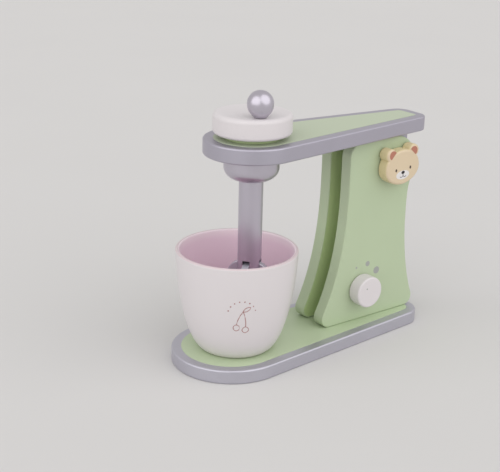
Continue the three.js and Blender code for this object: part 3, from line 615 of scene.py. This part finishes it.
# Bear knob: a bear's head sawn from a 12 mm board with its edges rounded over, glued to the near end of the
# hinge pin. It is painted cream and stands turned a few degrees; its edge takes a yellower cream, painted
# bounce light from the green panels.
BEAR_HALF_WIDTH = 21.2 * MM
BEAR_HALF_HEIGHT = 16.6 * MM
BEAR_RISE = 0.9 * MM
BEAR_EAR_R = 6.2 * MM
BEAR_EAR_X = 14.1 * MM
BEAR_EAR_Z = 14.3 * MM
BEAR_ROUND = 2.4 * MM
BEAR_TURN = Matrix.Rotation(math.radians(3), 3, "Z")
CHIN_HANDLE_SHARE = 0.46
CHEEK_DROP_SHARE = 0.08
CHEEK_LOW_SHARE = 0.56
CHEEK_HIGH_SHARE = 0.66
CROWN_HANDLE_SHARE = 0.6
CREAM_PAINT = (0.71, 0.575, 0.40)
CREAM_WITH_PAINTED_BOUNCE = (0.72, 0.60, 0.36)
CHEEK_POINTS = 30
CROWN_POINTS = 60
EAR_STEPS = 40
EDGE_FACING = 0.6


def bear_outline():
    """Right round from the chin: the cheeks, and each ear as an arc between its crossings of the face."""
    w, h = BEAR_HALF_WIDTH, BEAR_HALF_HEIGHT
    cheek = -CHEEK_DROP_SHARE * h
    low = interpolate_bezier(Vector((0, -h)), Vector((CHIN_HANDLE_SHARE * w, -h)),
                             Vector((w, cheek - CHEEK_LOW_SHARE * h)), Vector((w, cheek)), CHEEK_POINTS)
    high = interpolate_bezier(Vector((w, cheek)), Vector((w, cheek + CHEEK_HIGH_SHARE * h)),
                              Vector((CROWN_HANDLE_SHARE * w, h)), Vector((0, h)), CROWN_POINTS)
    right = [point + Vector((0, BEAR_RISE)) for point in low + high[1:]]
    ear = Vector((BEAR_EAR_X, BEAR_EAR_Z))
    inside = [i for i, point in enumerate(right) if (point - ear).length < BEAR_EAR_R]

    def crossing(i, j):
        near, far = (right[k] - ear for k in (i, j))
        share = (near.length - BEAR_EAR_R) / (near.length - far.length)
        return ear + (near.lerp(far, share)).normalized() * BEAR_EAR_R

    below, above = crossing(inside[0] - 1, inside[0]), crossing(inside[-1], inside[-1] + 1)
    turn = math.degrees((above - ear).angle_signed(below - ear)) % 360
    outline = Outline(*right[0])
    for point in right[1:inside[0]] + [below]:
        outline.line(*point)
    outline.arc(*ear, turn, EAR_STEPS)
    for point in right[inside[-1] + 1:]:
        outline.line(*point)
    for point in reversed(right[inside[-1] + 1:-1]):
        outline.line(-point.x, point.y)
    outline.line(-above.x, above.y)
    outline.arc(-ear.x, ear.y, turn, EAR_STEPS)
    for point in reversed(right[1:inside[0]]):
        outline.line(-point.x, point.y)
    outline.line(*right[0])
    return outline


cream_paint = painted_wood("cream_paint", CREAM_PAINT, grain="Z", roughness=0.42)
cream_edge_painted_bounce = painted_wood("cream_with_painted_bounce_on_the_edge", CREAM_WITH_PAINTED_BOUNCE, grain="Y", roughness=0.42)
bear_low, bear_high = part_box("bear_knob")
bear_at = joint_at["bear_turn"]
bear = slab(bear_outline(), bear_high.y - bear_low.y, BEAR_ROUND)
# Edge faces take the yellower cream, painted bounce light.
for face in bear.faces:
    face.material_index = int(abs(face.normal.z) < EDGE_FACING)
bmesh.ops.rotate(bear, verts=bear.verts, matrix=BEAR_TURN)
add_piece("bear_cream", stood_up(bear, bear_at.x, bear_high.y, bear_at.z), [cream_paint, cream_edge_painted_bounce], "bear",
          ["bear_knob"])


# Bear's face: printed on the knob's flat front in five inks: terracotta inside the ears, two small brown
# eyes, a white muzzle, a dark nose, and a fine smile below it.
EAR_INK = {"r": 4.3 * MM, "chord": 1.3 * MM, "x": 13.1 * MM, "z": 14.6 * MM, "turn": 225}
EYES = {"x": 8.9 * MM, "z": -0.5 * MM, "r": 1.1 * MM, "tall": 1.35}
MUZZLE = {"x": -0.6 * MM, "z": -6.0 * MM, "r": 8.2 * MM, "tall": 0.51}
NOSE = {"x": -0.3 * MM, "z": -3.7 * MM, "r": 2.1 * MM, "tall": 0.72}
SMILE = {"r": 2.2 * MM, "z": -5.9 * MM, "wide": 0.6 * MM, "sweep": 140}
TERRACOTTA_INK = (0.47, 0.19, 0.13)
BROWN_INK = (0.09, 0.06, 0.045)
WHITE_INK = (0.78, 0.75, 0.74)
DARK_INK = (0.028, 0.022, 0.024)
SLATE_INK = (0.13, 0.12, 0.15)


def add_arc_line(bm, x, y, r, start, sweep, wide, steps=24):
    """Draws an arc as a line of even width, from its start angle on."""
    heading = Vector((math.cos(math.radians(start)), math.sin(math.radians(start)), 0))
    centre = Vector((x, y, 0))
    ends = [bm.verts.new(centre + heading * (r + side * wide / 2)) for side in (-1, 1)]
    across = bm.edges.new(ends)
    bmesh.ops.spin(bm, geom=[*ends, across], cent=centre, axis=(0, 0, 1), angle=math.radians(sweep),
                   steps=steps, use_merge=abs(sweep) == 360)


def add_print(name, bm, ink, layer=0):
    """Puts ink on the bear's front, each later layer a little prouder than the one below."""
    printed(bm, INK_SUNK + INK_THICK * (1 + layer))
    bmesh.ops.rotate(bm, verts=bm.verts, matrix=BEAR_TURN)
    add_piece(name, stood_up(bm, bear_at.x, bear_low.y + INK_SUNK, bear_at.z), [ink], "bear")


ears = bmesh.new()
for side in (-1, 1):
    cut = math.degrees(math.acos(EAR_INK["chord"] / EAR_INK["r"]))
    start = cut + (EAR_INK["turn"] if side == 1 else 180 - EAR_INK["turn"])
    patch = Outline(side * EAR_INK["x"] + EAR_INK["r"] * math.cos(math.radians(start)),
                    EAR_INK["z"] + EAR_INK["r"] * math.sin(math.radians(start)))
    patch.arc(side * EAR_INK["x"], EAR_INK["z"], 360 - 2 * cut, EAR_STEPS)
    bmesh.ops.contextual_create(patch.mesh, geom=patch.mesh.verts)
    sheet = bpy.data.meshes.new("patch")
    patch.mesh.to_mesh(sheet)
    patch.mesh.free()
    ears.from_mesh(sheet)
    bpy.data.meshes.remove(sheet)
add_print("bear_ear_insides", ears, painted_wood("terracotta_ink", TERRACOTTA_INK, grain="Z"))

eyes = bmesh.new()
for side in (-1, 1):
    add_dot(eyes, side * EYES["x"], EYES["z"], EYES["r"], EYES["tall"])
add_print("bear_eyes", eyes, painted_wood("brown_ink", BROWN_INK, grain="Z"))

muzzle = bmesh.new()
add_dot(muzzle, MUZZLE["x"], MUZZLE["z"], MUZZLE["r"], MUZZLE["tall"])
add_print("bear_muzzle", muzzle, painted_wood("white_ink", WHITE_INK, grain="Z"))

nose = bmesh.new()
add_dot(nose, NOSE["x"], NOSE["z"], NOSE["r"], NOSE["tall"])
add_print("bear_nose", nose, painted_wood("dark_ink", DARK_INK, grain="Z", roughness=0.35), 1)

smile = bmesh.new()
for side in (-1, 1):
    add_arc_line(smile, NOSE["x"] + side * SMILE["r"], SMILE["z"], SMILE["r"],
                 180 if side == 1 else 360, SMILE["sweep"] * side, SMILE["wide"])
stem_at = Matrix.Translation((NOSE["x"], (NOSE["z"] + SMILE["z"]) / 2, 0))
stem_size = Matrix.Diagonal((SMILE["wide"], NOSE["z"] - SMILE["z"], 1, 1))
bmesh.ops.create_grid(smile, x_segments=1, y_segments=1, size=0.5, matrix=stem_at @ stem_size)
add_print("bear_smile", smile, painted_wood("slate_ink", SLATE_INK, grain="Z"), 1)


# Hinge cap: a small turned wooden button on the hinge pin's far end. It is painted like the panels and
# glued on, so that the pin can't slide out.
CAP_ROUND = 2.5 * MM
CAP_UNDER_ROUND = 0.6 * MM

cap_low, cap_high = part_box("hinge_cap")
cap = button((cap_high.z - cap_low.z) / 2, cap_high.y - cap_low.y, CAP_UNDER_ROUND, CAP_ROUND, steps=64)
bmesh.ops.rotate(cap, verts=cap.verts, matrix=Matrix.Rotation(math.pi, 3, "X"))
add_piece("hinge_cap_green", stood_up(cap, bear_at.x, cap_low.y, bear_at.z), [green_upright], "bear",
          ["hinge_cap"])


# Head board: wood a little thicker than the base, with its round nose about the whisk, silver all round and
# with a green field on top. Its silver is a darker copy of the base's, painted shade, and its green a paler,
# greyer copy, a painted sheen. It lies just above the panels and tilts up with the hinge block.
HEAD_NOSE_R = 42.5 * MM
HEAD_TAIL_X = 194 * MM
HEAD_TAIL_HALF = 21 * MM
HEAD_CORNER_R = 12.9 * MM
HEAD_RIM_WIDTH = 9 * MM
HEAD_SILVER_PAINTED_SHADE = (0.475, 0.455, 0.525)
HEAD_GREEN_PAINTED_SHEEN = (0.50, 0.56, 0.415)

head_low, head_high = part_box("head_board")
board = slab(board_outline(0, HEAD_NOSE_R, HEAD_TAIL_X, HEAD_TAIL_HALF, HEAD_CORNER_R),
             head_high.z - head_low.z, BOARD_EDGE)
bmesh.ops.translate(board, verts=board.verts, vec=whisk_axis + Vector((0, 0, head_low.z)))
# Darker silver is painted shade; paler green is a painted sheen.
head_silver_painted_shade = painted_wood("silver_of_the_head_painted_shade", HEAD_SILVER_PAINTED_SHADE, **SILVER_FINISH)
head_green_painted_sheen = painted_wood("green_of_the_head_painted_sheen", HEAD_GREEN_PAINTED_SHEEN)
add_piece("head_board_silver", board, [head_silver_painted_shade], "head", ["head_board"])
green_field("head_field_green",
            board_outline(0, HEAD_NOSE_R - HEAD_RIM_WIDTH, HEAD_TAIL_X - HEAD_RIM_WIDTH,
                          HEAD_TAIL_HALF - HEAD_RIM_WIDTH, HEAD_CORNER_R - HEAD_RIM_WIDTH),
            head_green_painted_sheen, head_high.z, "head")


# Hinge block: a wooden block under the head, between the panels, that the pin goes through. It is glued
# and dowelled to the head board and painted with it.
BLOCK_CORNER_R = 7 * MM
BLOCK_EDGE = 0.6 * MM

low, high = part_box("hinge_block")
outline = Outline(low.x, high.z)
outline.line(low.x, low.z + BLOCK_CORNER_R)
outline.arc(low.x + BLOCK_CORNER_R, low.z + BLOCK_CORNER_R, 90, steps=16)
outline.line(high.x - BLOCK_CORNER_R, low.z)
outline.arc(high.x - BLOCK_CORNER_R, low.z + BLOCK_CORNER_R, 90, steps=16)
outline.line(high.x, high.z)
outline.line(low.x, high.z)
block = stood_up(slab(outline, high.y - low.y, BLOCK_EDGE, steps=3), 0, high.y, 0)
# The block takes the head's darker silver, painted shade.
add_piece("hinge_block_silver", block, [head_silver_painted_shade], "head", ["hinge_block"])


# Hidden wood: the hinge pin, the dowels between block and head, the knob's dowel and the spindle are bare
# beech rods in their bores, and a felt ring lies between hub and head. Their solids stay as they are.
FELT_GREY = (0.30, 0.29, 0.28)
FELT_PALE = (0.38, 0.37, 0.355)
FELT_ROUGHNESS = 0.95
FELT_SHEEN = 0.3

beech_upright = bare_beech("bare_beech_along_z", "Z")
grey_felt, tree, shader = new_material("grey_felt")
place = add_node(tree, "TexCoord").outputs["Object"]
fibres = add_node(tree, "TexNoise", Vector=place, Scale=1800, Detail=5).outputs["Fac"]
tree.links.new(two_tones(tree, fibres, FELT_GREY, FELT_PALE), shader.inputs["Base Color"])
shader.inputs["Roughness"].default_value = FELT_ROUGHNESS
shader.inputs["Sheen Weight"].default_value = FELT_SHEEN
relief = add_node(tree, "Bump", Height=fibres, Strength=0.6, Distance=0.1 * MM).outputs["Normal"]
tree.links.new(relief, shader.inputs["Normal"])
for node, material in (("hinge_pin", beech_across), ("block_dowel_front", beech_upright),
                       ("block_dowel_back", beech_upright), ("knob_dowel", beech_upright),
                       ("spindle", beech_upright), ("hub_washer", grey_felt)):
    finish_solid(node, material)


# Crank disc: a thick turned disc on the head's nose, lacquered warm white, its top edge well rounded. A
# wooden spacer under it leaves the dark gap above the board; its brighter, yellower green is painted
# bounce light that lightens the gap.
DISC_TOP_ROUND = 4 * MM
DISC_UNDER_ROUND = 3 * MM
SPACER_R = 24 * MM
SPACER_BORE_R = 6.3 * MM
SPACER_GREEN_PAINTED_BOUNCE = (0.53, 0.64, 0.35)


def ring(r, bore_r, low, high):
    """A flat turned ring."""
    outline = Outline(bore_r, low)
    for x, z in ((r, low), (r, high), (bore_r, high), (bore_r, low)):
        outline.line(x, z)
    return turned(outline, steps=64)


disc_low, disc_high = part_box("crank_disc")
disc = button((disc_high.y - disc_low.y) / 2, disc_high.z - disc_low.z, DISC_UNDER_ROUND, DISC_TOP_ROUND,
              steps=128)
bmesh.ops.translate(disc, verts=disc.verts, vec=whisk_axis + Vector((0, 0, disc_low.z)))
add_piece("crank_disc_white", disc, [white_across], "crank", ["crank_disc"])
low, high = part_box("top_washer")
spacer = ring(SPACER_R, SPACER_BORE_R, low.z, high.z)
bmesh.ops.translate(spacer, verts=spacer.verts, vec=whisk_axis)
# Brighter green than the board's field, painted bounce light.
spacer_green_painted_bounce = painted_wood("green_of_the_spacer_painted_bounce", SPACER_GREEN_PAINTED_BOUNCE)
add_piece("disc_spacer_green", spacer, [spacer_green_painted_bounce], "crank", ["top_washer"])


# Ball knob: a turned wooden ball near the disc's edge that runs down into a small flat foot. Like the hub
# and the shaft it is polished as it turns and then sprayed, so it is glossier than the boards; its silver is
# also a lighter copy of theirs, painted light for the bright look of these turned pieces.
SILVER_TURNED_PAINTED_LIGHT = (0.57, 0.54, 0.61)
BALL_R = 11.3 * MM
BALL_FOOT_R = 5.5 * MM
FOOT_EDGE = 0.3 * MM
FOOT_HANDLE = Vector((3.2, 3.2)) * MM
BELLY_HANDLE_SHARE = 0.5

low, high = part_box("crank_knob")
ball_centre = high.z - low.z - BALL_R
outline = Outline(0, 0)
outline.line(BALL_FOOT_R - FOOT_EDGE, 0)
outline.line(BALL_FOOT_R, FOOT_EDGE)
outline.curve(outline.tip.co.to_2d() + FOOT_HANDLE,
              Vector((BALL_R, ball_centre - BELLY_HANDLE_SHARE * BALL_R)), Vector((BALL_R, ball_centre)),
              steps=24)
outline.arc(0, ball_centre, 90, steps=24)
ball = turned(outline, steps=72)
bmesh.ops.translate(ball, verts=ball.verts, vec=((low.x + high.x) / 2, (low.y + high.y) / 2, low.z))
# A lighter silver than the boards', painted light.
silver_turned_painted_light = painted_wood("silver_turned_with_painted_light", SILVER_TURNED_PAINTED_LIGHT, grain="Z", roughness=0.3, metallic=0.92)
add_piece("crank_ball_silver", ball, [silver_turned_painted_light], "crank", ["crank_knob"])


# Hub: a dish turned from one piece of wood, close under the head's nose, with a socket below that the shaft
# is glued into. Sprayed silver like the ball.
HUB_DISH_H = 11.3 * MM
HUB_DISH_RUN = 12.6 * MM
HUB_SOCKET_R = 11 * MM
HUB_SOCKET_DEEP = 6.3 * MM
HUB_RIM_EDGE = 0.5 * MM
# Handle length that makes a curve run as a quarter of an ellipse
QUARTER_SHARE = 0.5523

low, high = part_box("whisk_hub")
hub_r = (high.y - low.y) / 2
outline = Outline(0, HUB_SOCKET_DEEP)
outline.line(HUB_SOCKET_R, HUB_SOCKET_DEEP)
outline.line(HUB_SOCKET_R, 0)
outline.line(hub_r - HUB_DISH_RUN, 0)
outline.curve(Vector((hub_r - (1 - QUARTER_SHARE) * HUB_DISH_RUN, 0)),
              Vector((hub_r, (1 - QUARTER_SHARE) * HUB_DISH_H)), Vector((hub_r, HUB_DISH_H)), steps=24)
outline.line(hub_r, high.z - low.z - HUB_RIM_EDGE)
outline.line(hub_r - HUB_RIM_EDGE, high.z - low.z)
outline.line(0, high.z - low.z)
hub = turned(outline, steps=112)
bmesh.ops.translate(hub, verts=hub.verts, vec=whisk_axis + Vector((0, 0, low.z)))
add_piece("whisk_hub_silver", hub, [silver_turned_painted_light], "crank", ["whisk_hub"])


# Shaft: a thick turned rod glued into the hub, with a cross sawn into its lower end that takes the two
# whisk loops. Sprayed silver before the loops go in, so the slots' tops stay dark.
WHISK_THICK = 6 * MM
WHISK_TOP_Z = 91 * MM
SLOT_SPARE = 1.8 * MM
SLOT_SIDE_GAP = 0.3 * MM
WHISK_TURN = math.radians(-144)

low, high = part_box("whisk_shaft")
shaft_r = (high.y - low.y) / 2
slot_top = WHISK_TOP_Z + SLOT_SPARE
slot_low = low.z - SAW_OVERRUN
slot_middle = Vector((0, 0, (slot_top + slot_low) / 2))
slot_wide = WHISK_THICK + 2 * SLOT_SIDE_GAP
shaft = cut_away(rod(shaft_r, low.z, high.z, steps=96),
                 box_tool(slot_wide, 3 * shaft_r, slot_top - slot_low, slot_middle),
                 box_tool(3 * shaft_r, slot_wide, slot_top - slot_low, slot_middle))
whisk_place = Matrix.Translation(whisk_axis) @ Matrix.Rotation(WHISK_TURN, 4, "Z")
bmesh.ops.transform(shaft, matrix=whisk_place, verts=shaft.verts)
add_piece("whisk_shaft_silver", shaft, [silver_turned_painted_light], "crank", ["whisk_shaft"])


# Whisk loops: two flat loops sawn from 6 mm board, with square shoulders and round ends. One is cut
# through at its top and the other below, so that they slide into each other and into the shaft's cross.
WHISK_HALF = 22.6 * MM
WHISK_WIDE_Z = 62 * MM
WHISK_LOW_Z = 30 * MM
WHISK_BAR = 6.5 * MM
WHISK_EDGE = 0.8 * MM
SHOULDER_POWER = 2.6
END_POWER = 2.2
QUARTER_STEPS = 24
SIDE_FACING = 0.5


def loop_points(margin):
    """The loop's outline, set in by a margin: squarer above its widest height, rounder below."""
    half = WHISK_HALF - margin
    points = []
    for i in range(4 * QUARTER_STEPS):
        turn = math.pi / 2 * i / QUARTER_STEPS
        x, z = math.cos(turn), math.sin(turn)
        power = SHOULDER_POWER if z >= 0 else END_POWER
        rise = WHISK_TOP_Z - WHISK_WIDE_Z - margin if z >= 0 else WHISK_WIDE_Z - WHISK_LOW_Z - margin
        points.append((math.copysign(half * abs(x) ** (2 / power), x),
                       WHISK_WIDE_Z + math.copysign(rise * abs(z) ** (2 / power), z)))
    return points


silver_upright = painted_wood("silver_paint_along_z", SILVER_PAINT, grain="Z", **SILVER_FINISH)
for node, turn, gap_z in (("whisk_loop_open_top", 0, WHISK_TOP_Z - WHISK_BAR / 2),
                          ("whisk_loop_open_below", math.pi / 2, WHISK_LOW_Z + WHISK_BAR / 2)):
    bm = bmesh.new()
    for margin in (0, WHISK_BAR):
        verts = [bm.verts.new((x, z, 0)) for x, z in loop_points(margin)]
        for a, b in zip(verts, verts[1:] + verts[:1]):
            bm.edges.new((a, b))
    thicken(bm, bmesh.ops.bridge_loops(bm, edges=bm.edges[:])["faces"], WHISK_THICK)
    rims = [e for e in bm.edges if e.verts[0].co.z == e.verts[1].co.z and
            any(abs(f.normal.z) < SIDE_FACING for f in e.link_faces)]
    bmesh.ops.bevel(bm, geom=rims, offset=WHISK_EDGE, segments=3, profile=0.5, affect="EDGES", material=-1)
    stood_up(bm, 0, WHISK_THICK / 2, 0)
    gap = box_tool(slot_wide, 2 * WHISK_THICK, WHISK_BAR + 4 * SAW_OVERRUN, Vector((0, 0, gap_z)))
    loop = cut_away(bm, gap)
    bmesh.ops.transform(loop, matrix=whisk_place @ Matrix.Rotation(turn, 4, "Z"), verts=loop.verts)
    add_piece(node + "_silver", loop, [silver_upright], "crank", [node])


# Bowl: turned from one block, with a round rim and a small flat foot, and loose on the base. It is lacquered
# warm white outside and pale pink inside, the pink growing paler up the wall. The rim takes a darker,
# greyish pink: partly the pink reaching over it, partly painted shade that dims the rim's lit top.
BOWL_RIM_R = 54.2 * MM
BOWL_FOOT_R = 29.8 * MM
BOWL_WALL = 3.6 * MM
BOWL_FLOOR = 6.8 * MM
FLOOR_HANDLE_SHARE = 0.15
WALL_HANDLE_SHARES = (0.955, 0.33)
PINK_LACQUER = (0.93, 0.73, 0.82)
RIM_PINK_AND_PAINTED_SHADE = (0.68, 0.57, 0.59)
PALE_PINK_LACQUER = (0.97, 0.82, 0.87)
PINK_ENDS = -0.5
RIM_PINK_ENDS = 0.9
PINK_THINS_BELOW_RIM = 10 * MM
PINK_GONE_BELOW_RIM = 1.5 * MM
PINK_UNEVEN = 5 * MM


def thin_towards(material, full, pale, low, high):
    """Lets the bowl's lacquer grow paler from one height up to another, with a soft uneven border."""
    tree = material.node_tree
    place = add_node(tree, "TexCoord").outputs["Object"]
    height = add_node(tree, "SeparateXYZ", Vector=place).outputs["Z"]
    drift = add_node(tree, "TexNoise", Vector=place, Scale=CLOUD_SCALE, Detail=2).outputs["Fac"]
    border = add_node(tree, "MapRange", Value=drift, To_Min=low - PINK_UNEVEN / 2,
                      To_Max=low + PINK_UNEVEN / 2)
    share = add_node(tree, "MapRange", {"interpolation_type": "SMOOTHSTEP"}, Value=height,
                     From_Min=border.outputs["Result"], From_Max=high)
    shader = tree.nodes["Principled BSDF"]
    tree.links.new(two_tones(tree, share.outputs["Result"], full, pale), shader.inputs["Base Color"])


low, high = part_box("bowl")
bowl_height = high.z - low.z
bowl_axis = Vector(((low.x + high.x) / 2, 0, low.z))
rim_r = BOWL_WALL / 2
rim_z = bowl_height - rim_r
wall_share, height_share = WALL_HANDLE_SHARES
outline = Outline(0, 0)
outline.line(BOWL_FOOT_R, 0)
outline.curve(Vector((BOWL_FOOT_R + FLOOR_HANDLE_SHARE * BOWL_RIM_R, 0)),
              Vector((wall_share * BOWL_RIM_R, height_share * bowl_height)), Vector((BOWL_RIM_R, rim_z)),
              steps=40)
outline.arc(BOWL_RIM_R - rim_r, rim_z, 180, steps=14)
outline.curve(Vector((wall_share * BOWL_RIM_R - BOWL_WALL, height_share * bowl_height + BOWL_FLOOR / 2)),
              Vector((BOWL_FOOT_R + FLOOR_HANDLE_SHARE * BOWL_RIM_R - BOWL_WALL / 2, BOWL_FLOOR)),
              Vector((BOWL_FOOT_R, BOWL_FLOOR)), steps=40)
outline.line(0, BOWL_FLOOR)
bowl = turned(outline, steps=144)
for face in bowl.faces:
    centre = face.calc_center_median()
    outwards = face.normal.dot(Vector((centre.x, centre.y, 0)).normalized())
    if outwards < PINK_ENDS or (face.normal.z > 0 and centre.z < bowl_height / 2):
        face.material_index = 1
    # Rim faces: the pink over the rim, darkened with painted shade.
    elif outwards < RIM_PINK_ENDS and centre.z > bowl_height / 2:
        face.material_index = 2
bmesh.ops.translate(bowl, verts=bowl.verts, vec=bowl_axis)
white_upright = painted_wood("white_lacquer_along_z", WHITE_LACQUER, grain="Z", **WHITE_FINISH)
pink_lacquer = painted_wood("pink_lacquer", PINK_LACQUER, grain="Z", roughness=0.32, coat=0.4, uneven=0.02)
thin_towards(pink_lacquer, PINK_LACQUER, PALE_PINK_LACQUER, high.z - PINK_THINS_BELOW_RIM,
             high.z - PINK_GONE_BELOW_RIM)
rim_pink_and_painted_shade = painted_wood("rim_pink_with_painted_shade", RIM_PINK_AND_PAINTED_SHADE, grain="Z", roughness=0.5,
                         uneven=0.02)
bowl_piece = add_piece("bowl_white_and_pink", bowl, [white_upright, pink_lacquer, rim_pink_and_painted_shade], "bowl",
                       ["bowl"])


# Bowl print: a small plain drawing in dusty rose ink on the bowl's front: two round fruits on thin stalks
# with a leaf, and a bow of dots above. It follows the bowl's wall.
PRINT_TURN = math.radians(-120.5)
PRINT_Z = 58 * MM
PRINT_STAND_OFF = 4 * MM
PRINT_LINE = 0.7 * MM
FRUIT_R = 3.3 * MM
FRUITS = ({"x": -5.2 * MM, "y": -10.8 * MM}, {"x": 4.4 * MM, "y": -13.2 * MM})
STALK_TOP = Vector((1.2 * MM, 6.5 * MM))
STALK_BEND = 34 * MM
LEAF_LONG = 8.4 * MM
LEAF_BEND = 5.9 * MM
LEAF_LEAN = math.radians(28)
BOW_R = 14.5 * MM
BOW_RISE = 2 * MM
BOW_DOT_R = 0.7 * MM
BOW_ANGLES = range(20, 161, 20)
ROSE_INK = (0.42, 0.215, 0.205)
INK_OUTWARD = 0.3


def add_bent_line(bm, start, end, bend_r, wide):
    """Draws an arc of a given radius from start to end, bulging to its right."""
    chord = end - start
    half = chord.length / 2
    centre = start + chord / 2 + Vector((-chord.y, chord.x)).normalized() * math.sqrt(bend_r**2 - half**2)
    heading = start - centre
    sweep = math.degrees(2 * math.asin(half / bend_r))
    add_arc_line(bm, *centre, bend_r, math.degrees(math.atan2(heading.y, heading.x)), sweep, wide)


drawing = bmesh.new()
for fruit in FRUITS:
    add_arc_line(drawing, fruit["x"], fruit["y"], FRUIT_R, 0, 360, PRINT_LINE, steps=36)
    top = Vector((fruit["x"], fruit["y"] + FRUIT_R))
    if fruit["x"] < 0:
        add_bent_line(drawing, STALK_TOP, top, STALK_BEND, PRINT_LINE)
    else:
        add_bent_line(drawing, top, STALK_TOP, STALK_BEND, PRINT_LINE)
leaf_tip = STALK_TOP + LEAF_LONG * Vector((math.cos(LEAF_LEAN), math.sin(LEAF_LEAN)))
add_bent_line(drawing, STALK_TOP, leaf_tip, LEAF_BEND, PRINT_LINE)
add_bent_line(drawing, leaf_tip, STALK_TOP, LEAF_BEND, PRINT_LINE)
for degrees in BOW_ANGLES:
    add_dot(drawing, BOW_R * math.cos(math.radians(degrees)),
            BOW_RISE + BOW_R * math.sin(math.radians(degrees)), BOW_DOT_R)
facing = Vector((math.cos(PRINT_TURN), math.sin(PRINT_TURN), 0))
upright = Matrix.Rotation(PRINT_TURN + math.pi / 2, 4, "Z") @ Matrix.Rotation(math.pi / 2, 4, "X")
stand_off = bowl_axis + facing * (BOWL_RIM_R + PRINT_STAND_OFF)
bmesh.ops.transform(drawing, verts=drawing.verts,
                    matrix=Matrix.Translation((stand_off.x, stand_off.y, PRINT_Z)) @ upright)
rose_ink = painted_wood("rose_ink", ROSE_INK, grain="Z", roughness=0.5)
drawing_piece = add_piece("bowl_print", drawing, [rose_ink], "bowl")
wrap = drawing_piece.modifiers.new("lies_on_the_bowl", "SHRINKWRAP")
wrap.target = bowl_piece
wrap.wrap_method = "NEAREST_SURFACEPOINT"
wrap.wrap_mode = "ON_SURFACE"
coat = drawing_piece.modifiers.new("ink_thickness", "SOLIDIFY")
coat.thickness = INK_SUNK + INK_THICK
coat.offset = INK_OUTWARD
